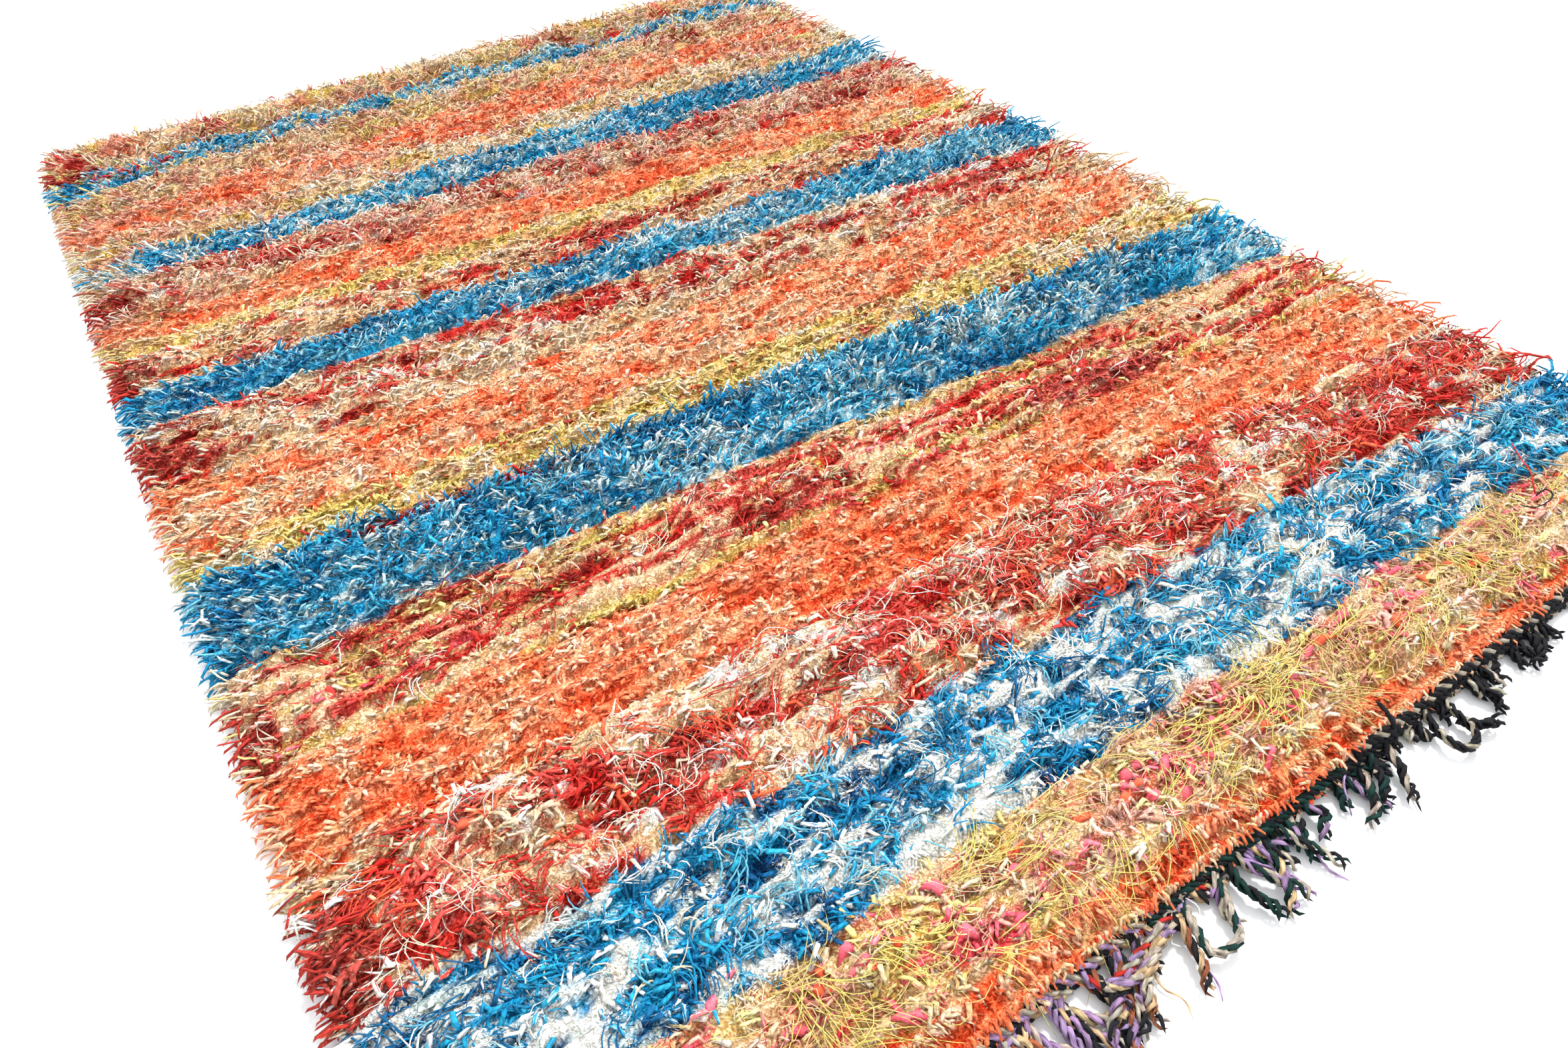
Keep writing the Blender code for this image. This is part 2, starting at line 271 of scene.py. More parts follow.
def stripe_at(x, y):
    """The number of the stripe that a point of the rug lies in."""
    number = np.zeros(len(x), int)
    for seed, stripe in enumerate(CHART[:-1]):
        edge = stripe_edge(stripe, x) + WOBBLE * mottle(x, y * 0, WOBBLE_PITCH, 1, 100 + seed)
        number += y - FRINGED_END > edge
    return number


def pick_dyes(x, y, stripes, luck):
    """A linear colour for each point, by its stripe's mix of yarns, in patches."""
    colours = np.zeros((len(x), 3))
    for number, stripe in enumerate(CHART):
        here = stripes == number
        slid = y[here] - x[here] * (stripe["edge_right"] - stripe["edge_left"]) / (-2 * CORNER.x)
        names = list(stripe["yarns"])
        scores = []
        for seed, name in enumerate(names):
            patch = mottle(x[here], slid, stripe["patch_x"], stripe["patch_y"], 200 + seed)
            field = mottle(x[here], slid, *FIELD_PITCH, 230 + seed)
            weight = math.log(stripe["yarns"][name])
            scores.append(
                weight + stripe["patchy"] * patch + FIELD_WEIGHT * field + luck[here, seed]
            )
        best = np.argmax(np.array(scores), axis=0)
        colours[here] = np.array([daylight(name) for name in names])[best]
    ragged = 0.9 * mottle(x, y, *RAGGED_PITCH, 77) + 0.7 * luck[:, -1]
    for *sizes, name in CLUMPS:
        across, along, half_x, half_y = (size / 1000 for size in sizes)
        far = ((x - CORNER.x - across) / half_x) ** 2 + ((y - FRINGED_END - along) / half_y) ** 2
        colours[far + ragged < 1] = daylight(name)
    return colours


def luck_of(count, strength, seed):
    """What makes a yarn's colour differ from its neighbours'."""
    return strength * np.random.default_rng(seed).gumbel(size=(count, DYES_IN_A_MIX))


def add_node(tree, kind, values=(), **settings):
    """A shader node with its settings and the values of its inputs."""
    node = tree.nodes.new(kind)
    for name, value in settings.items():
        setattr(node, name, value)
    for name, value in dict(values).items():
        node.inputs[name].default_value = value
    return node


def wire(tree, *links):
    """Joins the sockets of nodes. Each link gives a node, its output, a node and its input."""
    for start, output, end, socket in links:
        tree.links.new(start.outputs[output], end.inputs[socket])


def dye_mesh(mesh, colours, name="dye"):
    """Writes one colour for each point of a mesh."""
    layer = mesh.color_attributes.new(name, "FLOAT_COLOR", "POINT")
    with_alpha = np.ones((len(mesh.vertices), 4), np.float32)
    with_alpha[:, :3] = colours
    layer.data.foreach_set("color", with_alpha.ravel())


def points_of(mesh):
    """The points of a mesh as an array."""
    places = np.empty(len(mesh.vertices) * 3, np.float32)
    mesh.vertices.foreach_get("co", places)
    return places.reshape(-1, 3).astype(float)


def draw_in(points):
    """Draws the corners of the rug in, by how near each point is to an end."""
    to_end = np.minimum(points[:, 1] - PILE_LOW.y, PILE_HIGH.y - points[:, 1])
    inset = GROUND_CORNER * np.clip(1 - to_end / CORNER_DEPTH, 0, 1) ** 2
    points[:, 0] -= np.sign(points[:, 0]) * inset * np.abs(points[:, 0]) / CORNER.length
    return points


bpy.ops.object.select_all(action="DESELECT")
cells_x, cells_y = GROUND_CELLS
bpy.ops.mesh.primitive_grid_add(x_subdivisions=cells_x, y_subdivisions=cells_y, size=1)
ground = bpy.context.object
ground.name = "ground_weave"
flat = points_of(ground.data)
flat[:, 0] *= GROUND_WIDTH
flat[:, 1] = flat[:, 1] * GROUND_LENGTH + (PILE_LOW.y + PILE_HIGH.y) / 2 - GROUND_SHIFT
flat[:, 2] = GROUND_THICKNESS
flat = draw_in(flat)
ground.data.vertices.foreach_set("co", flat.astype(np.float32).ravel())
stripes = stripe_at(flat[:, 0], flat[:, 1])
dye_mesh(ground.data, pick_dyes(flat[:, 0], flat[:, 1], stripes, luck_of(len(flat), 0.6, 1)))
thicken = ground.modifiers.new("thickness", "SOLIDIFY")
thicken.thickness = GROUND_THICKNESS
thicken.offset = -1
bpy.ops.object.modifier_apply(modifier=thicken.name)

ground_cotton, tree, shader = new_material("ground_cotton", roughness=0.95)
where = add_node(tree, "ShaderNodeTexCoord")
weft = add_node(tree, "ShaderNodeTexWave", {"Scale": 55, "Distortion": 1.2}, bands_direction="Y")
warp = add_node(tree, "ShaderNodeTexWave", {"Scale": 80, "Distortion": 0.8}, bands_direction="X")
weave = add_node(tree, "ShaderNodeMath", operation="MULTIPLY")
relief = add_node(tree, "ShaderNodeBump", {"Strength": 0.8, "Distance": 0.0015})
dye = add_node(tree, "ShaderNodeAttribute", attribute_name="dye")
shade = add_node(tree, "ShaderNodeMapRange", {"To Min": 0.55, "To Max": 0.9})
tint = add_node(tree, "ShaderNodeVectorMath", operation="SCALE")
wire(
    tree, (where, "Object", weft, "Vector"), (where, "Object", warp, "Vector"),
    (weft, "Fac", weave, 0), (warp, "Fac", weave, 1), (weave, 0, relief, "Height"),
    (weave, 0, shade, "Value"), (dye, "Color", tint, 0), (shade, 0, tint, "Scale"),
    (tint, 0, shader, "Base Color"), (relief, 0, shader, "Normal"),
)
ground.data.materials.append(ground_cotton)
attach(ground, "root")

# Bed of the pile
# The lower part of the pile, where the knotted yarn stands so close that it can't be told apart.
# It follows the slab's lumps, a yarn's reach below its top, and lies on the ground weave.
BED_CELLS = (112, 300)
BED_BELOW = 0.0060  # from the top of the pile down to the bed
BED_LEAST = 0.0075
BED_WIDTH = 1.750
BED_LENGTH = 2.505
BED_SHADE = 0.95  # less light gets down there
BED_WARMTH = (1.05, 0.86, 0.69)  # what light takes on between pale yarns
ROW_SHADE = 0.16  # and less still between two rows
PALE = 0.45  # the least of red, green and blue in a dye that counts as pale
WARM_LEAST = 0.18  # the least of them in a dye that light warms
WARM_SHARE = 1.2  # and the least that its red is of its blue
WOOL_RISE = 0.0045  # how far soft pale wool swells up between the other yarns
WOOL_PART = 0.80  # from the fringed end
CLUMP_PITCH = (0.050, 0.026)
CLUMP_RISE = 0.0068
HOLLOW_SHADE = 0.45  # painted shade: how much darker and richer the dyes are made in the hollows between clumps
ROW_PITCH = 0.0225
ROW_RISE = 0.0040
ROW_STRAY = 0.35  # how far the rows wander, as a share of their pitch
ROW_STRAY_PITCH = (0.20, 0.09)
SIDE_RISE = 0.010  # how much fuller the pile is along the sides
SIDE_DEPTH = 0.045
FAR_TOP = 0.058  # how high the far end stands, where the rug is rolled up a little
FAR_DEPTH = 0.075  # how far in from that end it starts to rise
FAR_LUMP_PITCH = 0.055
FAR_LEFT = -0.7  # to the left of here the far end stands higher still
FAR_LEFT_RISE = 0.003
RIM_HEIGHT = 0.004  # up to which the slab counts as its rim
FULL_HEIGHT = 0.030  # from which the pile has its clumps and rows in full
SWELL_PITCH = (0.075, 0.045)
SWELL_RISE = 0.004
SLAB_PITCH = 0.010

cad_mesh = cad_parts["shag_pile"].data
slab = BVHTree.FromPolygons(
    [vert.co for vert in cad_mesh.vertices], [face.vertices for face in cad_mesh.polygons]
)
slab_x = np.arange(PILE_LOW.x - SLAB_PITCH, PILE_HIGH.x + 2 * SLAB_PITCH, SLAB_PITCH)
slab_y = np.arange(PILE_LOW.y - SLAB_PITCH, PILE_HIGH.y + 2 * SLAB_PITCH, SLAB_PITCH)
slab_z = np.zeros((len(slab_x), len(slab_y)))
for i, x in enumerate(slab_x):
    for j, y in enumerate(slab_y):
        hit = slab.ray_cast(Vector((x, y, 1)), Vector((0, 0, -1)))[0]
        slab_z[i, j] = hit.z if hit else 0


def slab_height(x, y):
    """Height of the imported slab's top, which is 0 past its rim."""
    u = np.clip((x - slab_x[0]) / SLAB_PITCH, 0, len(slab_x) - 1.001)
    v = np.clip((y - slab_y[0]) / SLAB_PITCH, 0, len(slab_y) - 1.001)
    i, j = u.astype(int), v.astype(int)
    s, t = u - i, v - j
    near = slab_z[i, j] * (1 - s) + slab_z[i + 1, j] * s
    far = slab_z[i, j + 1] * (1 - s) + slab_z[i + 1, j + 1] * s
    return near * (1 - t) + far * t


def row_wave(x, y):
    """1 along the middle of each row of knots, and -1 half way to the next."""
    stray = ROW_STRAY * mottle(x, y, *ROW_STRAY_PITCH, 13)
    return np.cos(2 * math.pi * ((y - FRINGED_END) / ROW_PITCH - 0.5 + stray))


def clump_lit_and_shaded(colours, x, y):
    """Dyes at these places, with painted light and shade: lighter on the clumps, and darker
    and richer in the hollows between them.
    """
    hollow = np.clip(-mottle(x, y, *CLUMP_PITCH, 11), -0.35, 1)
    return np.clip(colours, 0.002, 1) ** (1 + HOLLOW_SHADE * hollow - 0.10)[:, None]


def pile_height(x, y):
    """Height of the pile's top: the slab's, with the clumps that yarn draws together in."""
    height = slab_height(x, y)
    clumps = CLUMP_RISE * mottle(x, y, *CLUMP_PITCH, 11)
    swells = SWELL_RISE * mottle(x, y, *SWELL_PITCH, 12)
    rows = ROW_RISE * row_wave(x, y)
    inside = np.clip((y - PILE_HIGH.y + FAR_DEPTH + 0.02) / FAR_DEPTH, 0, 1)
    roll = FAR_TOP * (0.88 + 0.13 * mottle(x, y * 0, FAR_LUMP_PITCH, 1, 14))
    roll = roll + FAR_LEFT_RISE * (x < FAR_LEFT)
    rolled = inside * np.maximum(roll - height, 0) * (height > RIM_HEIGHT)
    to_edge = BED_WIDTH / 2 - np.abs(x)
    full = SIDE_RISE * np.clip(1 - to_edge / SIDE_DEPTH, 0, 1) * (to_edge > -0.001)
    return height + rolled + full + (clumps + swells + rows) * np.clip(height / FULL_HEIGHT, 0, 1)


bpy.ops.object.select_all(action="DESELECT")
bpy.ops.mesh.primitive_grid_add(x_subdivisions=BED_CELLS[0], y_subdivisions=BED_CELLS[1], size=1)
bed = bpy.context.object
bed.name = "pile_bed"
top = points_of(bed.data)
top[:, 0] *= BED_WIDTH
top[:, 1] = top[:, 1] * BED_LENGTH + PILE_LOW.y + BED_LENGTH / 2 + 0.001
top = draw_in(top)
stripes = stripe_at(top[:, 0], top[:, 1])
row_light = BED_SHADE - ROW_SHADE * (1 - row_wave(top[:, 0], top[:, 1])) / 2
rise = 0
for layer, seed, strength in (("dye", 2, 0.35), ("second_dye", 3, 0.9)):
    bed_dyes = pick_dyes(top[:, 0], top[:, 1], stripes, luck_of(len(top), strength, seed))
    # Painted light and shade: the bed's dyes lighter on the clumps and darker in the hollows.
    bed_dyes = clump_lit_and_shaded(bed_dyes, top[:, 0], top[:, 1])
    warm = bed_dyes.min(axis=1) > WARM_LEAST
    warm &= bed_dyes[:, 0] > WARM_SHARE * bed_dyes[:, 2]
    warmth = np.where(warm[:, None], BED_WARMTH, 1)
    dye_mesh(bed.data, bed_dyes * warmth * row_light[:, None], layer)
    wool = (bed_dyes.min(axis=1) > PALE) & (top[:, 1] < FRINGED_END + WOOL_PART)
    rise = rise + wool * WOOL_RISE / 2
top[:, 2] = np.maximum(pile_height(top[:, 0], top[:, 1]) - BED_BELOW + rise, BED_LEAST)
bed.data.vertices.foreach_set("co", top.astype(np.float32).ravel())
bpy.ops.object.mode_set(mode="EDIT")
bpy.ops.mesh.select_all(action="SELECT")
bpy.ops.mesh.region_to_loop()
bpy.ops.mesh.extrude_region_move()
bpy.ops.transform.resize(value=(1, 1, 0))
bpy.ops.mesh.edge_face_add()
bpy.ops.object.mode_set(mode="OBJECT")
closed = points_of(bed.data)
closed[len(top):, 2] = GROUND_THICKNESS + 0.0002
bed.data.vertices.foreach_set("co", closed.astype(np.float32).ravel())
bed.data.shade_smooth()

# The look of spun yarn, which every yarn and cord shares: fibres that run along it in two dyes,
# and the grooves between its plies, darkened as painted shade. Turns is the twist in a metre, and
# Depth how dark that painted shade is.
spun = bpy.data.node_groups.new("spun_yarn", "ShaderNodeTree")
for name, kind, io in (
    ("Dye", "NodeSocketColor", "INPUT"), ("Second Dye", "NodeSocketColor", "INPUT"),
    ("Turns", "NodeSocketFloat", "INPUT"), ("Depth", "NodeSocketFloat", "INPUT"),
    ("Color", "NodeSocketColor", "OUTPUT"), ("Height", "NodeSocketFloat", "OUTPUT"),
):
    spun.interface.new_socket(name, in_out=io, socket_type=kind)
given = add_node(spun, "NodeGroupInput")
made = add_node(spun, "NodeGroupOutput")
yarn_map = add_node(spun, "ShaderNodeUVMap", uv_map="yarn")
split = add_node(spun, "ShaderNodeSeparateXYZ")
turned = add_node(spun, "ShaderNodeMath", operation="MULTIPLY")
wound = add_node(spun, "ShaderNodeMath", operation="ADD")
full = add_node(spun, "ShaderNodeMath", {1: 2 * math.pi}, operation="MULTIPLY")
plies = add_node(spun, "ShaderNodeMath", operation="SINE")
groove = add_node(spun, "ShaderNodeMapRange", {"From Min": -1, "From Max": 0.4})
stretch = add_node(spun, "ShaderNodeVectorMath", {1: (13, 75, 1)}, operation="MULTIPLY")
fibre = add_node(
    spun, "ShaderNodeTexNoise", {"Scale": 1, "Detail": 2, "Roughness": 0.6, "Distortion": 0.4}
)
streak = add_node(spun, "ShaderNodeMapRange", {"From Min": 0.54, "From Max": 0.62})
light = add_node(
    spun, "ShaderNodeMapRange", {"From Min": 0.3, "From Max": 0.7, "To Min": 0.52, "To Max": 1.36}
)
# Painted shade in the ply grooves: the colour falls to 1 - Depth at the bottom of each groove.
depth = add_node(spun, "ShaderNodeMath", {0: 1.0}, operation="SUBTRACT")
shaded = add_node(spun, "ShaderNodeMapRange", {"From Min": 0, "From Max": 1, "To Max": 1})
both = add_node(spun, "ShaderNodeMath", operation="MULTIPLY")
mix = add_node(spun, "ShaderNodeMix", data_type="RGBA")
scaled = add_node(spun, "ShaderNodeVectorMath", operation="SCALE")
raised = add_node(spun, "ShaderNodeMath", operation="ADD")
wire(
    spun, (yarn_map, 0, split, 0), (yarn_map, 0, stretch, 0), (split, "Y", turned, 0),
    (given, "Turns", turned, 1), (split, "X", wound, 0), (turned, 0, wound, 1),
    (wound, 0, full, 0), (full, 0, plies, 0), (plies, 0, groove, "Value"),
    (stretch, 0, fibre, "Vector"), (fibre, "Fac", light, "Value"), (fibre, "Fac", streak, "Value"),
    (streak, 0, mix, "Factor"), (given, "Dye", mix, "A"), (given, "Second Dye", mix, "B"),
    (given, "Depth", depth, 1), (groove, 0, shaded, "Value"), (depth, 0, shaded, "To Min"),
    (shaded, 0, both, 0), (light, 0, both, 1), (mix, "Result", scaled, 0),
    (both, 0, scaled, "Scale"), (scaled, 0, made, "Color"), (groove, 0, raised, 0),
    (fibre, "Fac", raised, 1), (raised, 0, made, "Height"),
)


def yarn_material(name, turns, depth):
    """Yarn in its own dyes, with that twist."""
    material, tree, shader = new_material(name, roughness=0.8, gloss=0.2)
    fibres = add_node(tree, "ShaderNodeGroup", node_tree=spun)
    fibres.inputs["Turns"].default_value = turns
    fibres.inputs["Depth"].default_value = depth
    relief = add_node(tree, "ShaderNodeBump", {"Strength": 0.7, "Distance": 0.0008})
    for layer, socket in (("dye", "Dye"), ("second_dye", "Second Dye")):
        dye = add_node(tree, "ShaderNodeAttribute", attribute_name=layer)
        wire(tree, (dye, "Color", fibres, socket))
    wire(
        tree, (fibres, "Color", shader, "Base Color"), (fibres, "Height", relief, "Height"),
        (relief, 0, shader, "Normal"),
    )
    return material


bed_yarn, tree, shader = new_material("bed_yarn", roughness=0.95, gloss=0.15)
first = add_node(tree, "ShaderNodeAttribute", attribute_name="dye")
second = add_node(tree, "ShaderNodeAttribute", attribute_name="second_dye")
where = add_node(tree, "ShaderNodeTexCoord")
curls = add_node(tree, "ShaderNodeTexNoise", {"Scale": 190, "Detail": 1, "Distortion": 1.6})
which = add_node(tree, "ShaderNodeMapRange", {"From Min": 0.46, "From Max": 0.54})
mix = add_node(tree, "ShaderNodeMix", data_type="RGBA")
# Painted shade: the bits noise darkens the dyes, and makes them richer, in the gaps between the
# curls where shade falls; it also raises the bump.
bits = add_node(tree, "ShaderNodeTexNoise", {"Scale": 170, "Detail": 3, "Distortion": 1.6})
gap_shade = add_node(
    tree, "ShaderNodeMapRange", {"From Min": 0.34, "From Max": 0.60, "To Min": 0.60, "To Max": 1.08}
)
deep = add_node(
    tree, "ShaderNodeMapRange", {"From Min": 0.34, "From Max": 0.60, "To Min": 1.65, "To Max": 0.95}
)
rich = add_node(tree, "ShaderNodeGamma")
shade = add_node(tree, "ShaderNodeVectorMath", operation="SCALE")
relief = add_node(tree, "ShaderNodeBump", {"Strength": 1.0, "Distance": 0.004})
wire(
    tree, (where, "Object", curls, "Vector"), (where, "Object", bits, "Vector"),
    (curls, "Fac", which, "Value"), (which, 0, mix, "Factor"), (first, "Color", mix, "A"),
    (second, "Color", mix, "B"), (bits, "Fac", gap_shade, "Value"), (gap_shade, 0, shade, "Scale"),
    (bits, "Fac", deep, "Value"), (deep, 0, rich, "Gamma"), (mix, "Result", rich, "Color"),
    (rich, 0, shade, 0), (shade, 0, shader, "Base Color"), (gap_shade, 0, relief, "Height"),
    (relief, 0, shader, "Normal"),
)
bed.data.materials.append(bed_yarn)
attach(bed, "root")
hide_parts("shag_pile")

# Cut pile
# Wool and cotton yarn of about 3 mm, knotted in tufts in rows across the rug and cut. The ends
# bend over and lie on each other, every way in the middle and outwards at the sides. They are
# thicker here than the real yarn, so that fewer of them cover the rug.
TUFT_PITCH = (0.0172, ROW_PITCH)
THICK_ENDS = 4  # the most in a tuft
THIN_ENDS = 7
PLACES = (0.45, 0.55, 0.95, 1.10)  # from the fringed end
THICK_THERE = (4, 3, 3, 2)  # how many of the thick ends a tuft has there
THIN_THERE = (7, 7, 6, 6)
TUFT_RADIUS = (0.0064, 0.0042)
YARN_RADIUS = (0.0019, 0.0033)
THIN_RADIUS = (0.0015, 0.0024)
THIN_LENGTH = 0.75  # of that of the thick ends
THIN_LEAN = 0.75
ROOT_DEPTH = 0.0025  # below the bed's top
LENGTH_VARY = 0.22
LEAN_SHARES = (0.2, 1.15)  # of the stripe's steepness
FALL_DEGREES = (25, 60)
TURN_VARY = 0.8
FLATNESS = 0.72
WOOL_SHARE = 0.66  # of the pale ends near the fringed end, which have matted into the bed
NEAR_PART = 0.50  # from the fringed end, where the ends are long and curl most
SIDE_REACH = 0.24  # how far in from the sides the ends are combed outwards
SIDE_COMB = 1.5
DRAPE = 0.25  # how much the ends fall towards the fringed end
END_COMB = 2.0  # how much they point outwards at the two ends of the rug
FAR_COMB_REACH = 0.06
NEAR_COMB_REACH = 0.05
RIM_DEPTH = 0.03  # how far in from the rim the ends lie flatter
CURLED_SHARES = (0.38, 0.42, 0.20)  # of an end's length, from root to tip
SHORT_SHARES = (0.70, 0.30)
THIN_SHARES = (1.0,)
YARN_TURNS = 120
PILE_CEILING = 0.0645
PILE_REACH = 0.931  # from the middle to the farthest tip at a side
TIP_FADE_AND_ROOT_SHADE = 0.26  # the most that a tip fades, as sun fading and painted highlight; it also scales the painted shade at the roots


def beside(paths, upright=(1.0, 0.0, 0.0)):
    """Which way is level and which is upwards, square to each path at each of its rings. Where a
    path goes straight up, upright counts as level."""
    ahead = np.gradient(paths, axis=1)
    ahead /= np.linalg.norm(ahead, axis=2, keepdims=True) + 1e-9
    level = np.stack([-ahead[..., 1], ahead[..., 0], np.zeros(paths.shape[:2])], axis=2)
    size = np.linalg.norm(level, axis=2, keepdims=True)
    level = np.where(size > 0.02, level / (size + 1e-9), upright)
    return level, np.cross(ahead, level)


def run_of(paths):
    """How far along each path its rings are."""
    step = np.linalg.norm(np.diff(paths, axis=1), axis=2)
    return np.concatenate([np.zeros((len(paths), 1)), np.cumsum(step, axis=1)], axis=1)


def many_of(name, points, faces):
    """Joins many like shapes in one piece. points[shape] are one's points, and faces join them."""
    starts = np.arange(len(points))[:, None, None] * points.shape[1]
    mesh = bpy.data.meshes.new(name)
    mesh.from_pydata(points.reshape(-1, 3), [], (np.array(faces)[None] + starts).reshape(-1, 3))
    mesh.shade_smooth()
    piece = bpy.data.objects.new(name, mesh)
    bpy.context.scene.collection.objects.link(piece)
    return piece


def yarn_mesh(name, paths, radii, dyes, second_dyes=None, sides=3, flatness=1, rough=0.3):
    """Joins many tapering yarns in one mesh. paths[yarn, ring] are the middles of their rings, the
    last one being the tip. radii[yarn, ring] and dyes[yarn, ring] are their radii and colours."""
    count, rings = paths.shape[:2]
    level, over = beside(paths)
    angle = np.arange(sides) * 2 * math.pi / sides + 0.5
    spoke = level[:, :-1, None] * np.cos(angle)[:, None]
    spoke = spoke + over[:, :-1, None] * np.sin(angle)[:, None] * flatness
    dice = np.random.default_rng(count + 1)
    uneven = 1 + dice.uniform(-rough, rough, (count, rings - 1, sides, 1))
    round_points = paths[:, :-1, None] + spoke * radii[:, :-1, None, None] * uneven
    points = np.concatenate([round_points.reshape(count, -1, 3), paths[:, -1:]], axis=1)
    faces, corners = [], []
    for ring in range(rings - 2):
        for side in range(sides):
            a, b = ring * sides + side, ring * sides + (side + 1) % sides
            faces += [(a, b, b + sides), (a, b + sides, a + sides)]
            corners += [(side, ring), (side + 1, ring), (side + 1, ring + 1)]
            corners += [(side, ring), (side + 1, ring + 1), (side, ring + 1)]
    tip = (rings - 1) * sides
    for side in range(sides):
        faces.append((tip - sides + side, tip - sides + (side + 1) % sides, tip))
        corners += [(side, rings - 2), (side + 1, rings - 2), (side + 0.5, rings - 1)]
    for side in range(1, sides - 1):
        faces.append((0, side + 1, side))
        corners += [(0, 0), (side + 1, 0), (side, 0)]
    piece = many_of(name, points, faces)
    second_dyes = dyes if second_dyes is None else second_dyes
    for layer, values in (("dye", dyes), ("second_dye", second_dyes)):
        ring_dyes = np.repeat(values[:, :-1], sides, axis=1)
        with_tips = np.concatenate([ring_dyes, values[:, -1:]], axis=1)
        dye_mesh(piece.data, with_tips.reshape(-1, 3), layer)
    corners = np.array(corners)
    uv = np.empty((count, len(corners), 2), np.float32)
    uv[..., 0] = corners[:, 0] / sides
    shift = np.random.default_rng(count).uniform(0, 5, (count, 1))
    uv[..., 1] = run_of(paths)[:, corners[:, 1].astype(int)] + shift
    piece.data.uv_layers.new(name="yarn").data.foreach_set("uv", uv.ravel())
    return piece


def keep_yarn(piece, material):
    """Gives a piece of yarn its material, and lets it go with the rug."""
    piece.data.materials.append(material)
    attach(piece, "root")


def faded_and_shaded(colours, shares, dice):
    """Each yarn's colour at its rings: its own tone, darkened as painted shade where a share is
    below 0, as at the roots, and lightened towards the tip where it is above 0, as sun fading and
    painted highlight.
    """
    count = len(colours)
    own = colours * np.exp(dice.normal(0.03, 0.10, (count, 1)) + dice.normal(0, 0.03, (count, 3)))
    own = np.clip(own, 0.002, 1)[:, None]
    tone_shift = dice.uniform(0, TIP_FADE_AND_ROOT_SHADE, (count, 1, 1)) * np.array(shares)[:, None]
    return own ** (1 - tone_shift)


def grow(roots, heading, length, lean, fall, turn, shares):
    """Middles of the rings of cut ends. lean is how far an end rises from level at its root, fall
    how much of that it loses from each stretch to the next, and turn how much it curls sideways."""
    paths = np.empty((len(roots), len(shares) + 1, 3))
    paths[:, 0] = roots
    for ring, share in enumerate(shares):
        rise = lean - fall * ring
        way = heading + turn * ring
        level = np.cos(rise)
        step = np.stack([level * np.cos(way), level * np.sin(way), np.sin(rise)], axis=1)
        paths[:, ring + 1] = paths[:, ring] + step * (length * share)[:, None]
    paths[..., 0] = np.clip(paths[..., 0], -PILE_REACH, PILE_REACH)
    paths[..., 2] = np.clip(paths[..., 2], 0.004, PILE_CEILING)
    return paths


dice = np.random.default_rng(21)
across = np.arange(-BED_WIDTH / 2 + 0.006, BED_WIDTH / 2 - 0.005, TUFT_PITCH[0])
rows = np.arange(PILE_LOW.y + ROW_PITCH / 2, PILE_LOW.y + BED_LENGTH - 0.004, TUFT_PITCH[1])
x, y = np.meshgrid(across, rows)
x = x + (np.arange(len(rows)) % 2)[:, None] * TUFT_PITCH[0] / 2
x = x + dice.uniform(-0.45, 0.45, x.shape) * TUFT_PITCH[0]
y = y - ROW_PITCH * ROW_STRAY * mottle(x, y, *ROW_STRAY_PITCH, 13)
y = y + dice.uniform(-0.12, 0.12, x.shape) * ROW_PITCH
tufts = np.stack([x.ravel(), y.ravel()], axis=1)
in_a_tuft = THICK_ENDS + THIN_ENDS
ends = np.repeat(tufts, in_a_tuft, axis=0)
count = len(ends)
ends = ends + dice.normal(0, 1, ends.shape) * TUFT_RADIUS
ends[:, 0] = np.clip(ends[:, 0], -BED_WIDTH / 2 + 0.002, BED_WIDTH / 2 - 0.002)
ends[:, 1] = np.clip(ends[:, 1], PILE_LOW.y + 0.003, PILE_HIGH.y - 0.012)
x, y = ends.T
stripes = stripe_at(x, y)
tuft_luck = np.repeat(luck_of(len(tufts), 0.65, 23), in_a_tuft, axis=0)
colours = pick_dyes(x, y, stripes, tuft_luck + luck_of(count, 0.35, 24))
second_colours = pick_dyes(x, y, stripes, tuft_luck * 0.5 + luck_of(count, 0.8, 26))
way = np.repeat(dice.uniform(-math.pi, math.pi, len(tufts)), in_a_tuft) + dice.normal(0, 0.9, count)
to_side = BED_WIDTH / 2 - np.abs(x)
to_far = PILE_HIGH.y - y
to_near = y - PILE_LOW.y
comb = np.clip(1 - to_side / SIDE_REACH, 0, 1) ** 1.5 * SIDE_COMB
push = np.clip(1 - to_far / FAR_COMB_REACH, 0, 1) * END_COMB
pull = np.clip(1 - to_near / NEAR_COMB_REACH, 0, 1) * END_COMB
heading = np.arctan2(0.6 * np.sin(way) - DRAPE + push - pull, np.cos(way) + np.sign(x) * comb)
length = np.array([stripe["length"] for stripe in CHART])[stripes]
length = length * np.exp(dice.normal(0, LENGTH_VARY, count))
at_rim = np.clip(1 - np.minimum(np.minimum(to_side, to_far), to_near) / RIM_DEPTH, 0, 1)
steep = np.array([stripe["steep"] for stripe in CHART])[stripes]
lean = np.radians(dice.uniform(*LEAN_SHARES, count) * steep) * (1 - 0.7 * at_rim)
fall = np.radians(dice.uniform(*FALL_DEGREES, count))
turn = dice.normal(0, TURN_VARY, count)
place = np.tile(np.arange(in_a_tuft), len(tufts))
thin = place >= THICK_ENDS
radius = np.where(thin, dice.uniform(*THIN_RADIUS, count), dice.uniform(*YARN_RADIUS, count))
lean = np.where(thin, THIN_LEAN * lean, lean)
length = np.where(thin, THIN_LENGTH * length, length)
depth = np.maximum(pile_height(x, y) - BED_BELOW, BED_LEAST) - ROOT_DEPTH
roots = np.stack([x, y, depth], axis=1)
pile_yarn = yarn_material("pile_yarn", YARN_TURNS, 0.22)
near = to_near < NEAR_PART
pale = colours.min(axis=1) > PALE
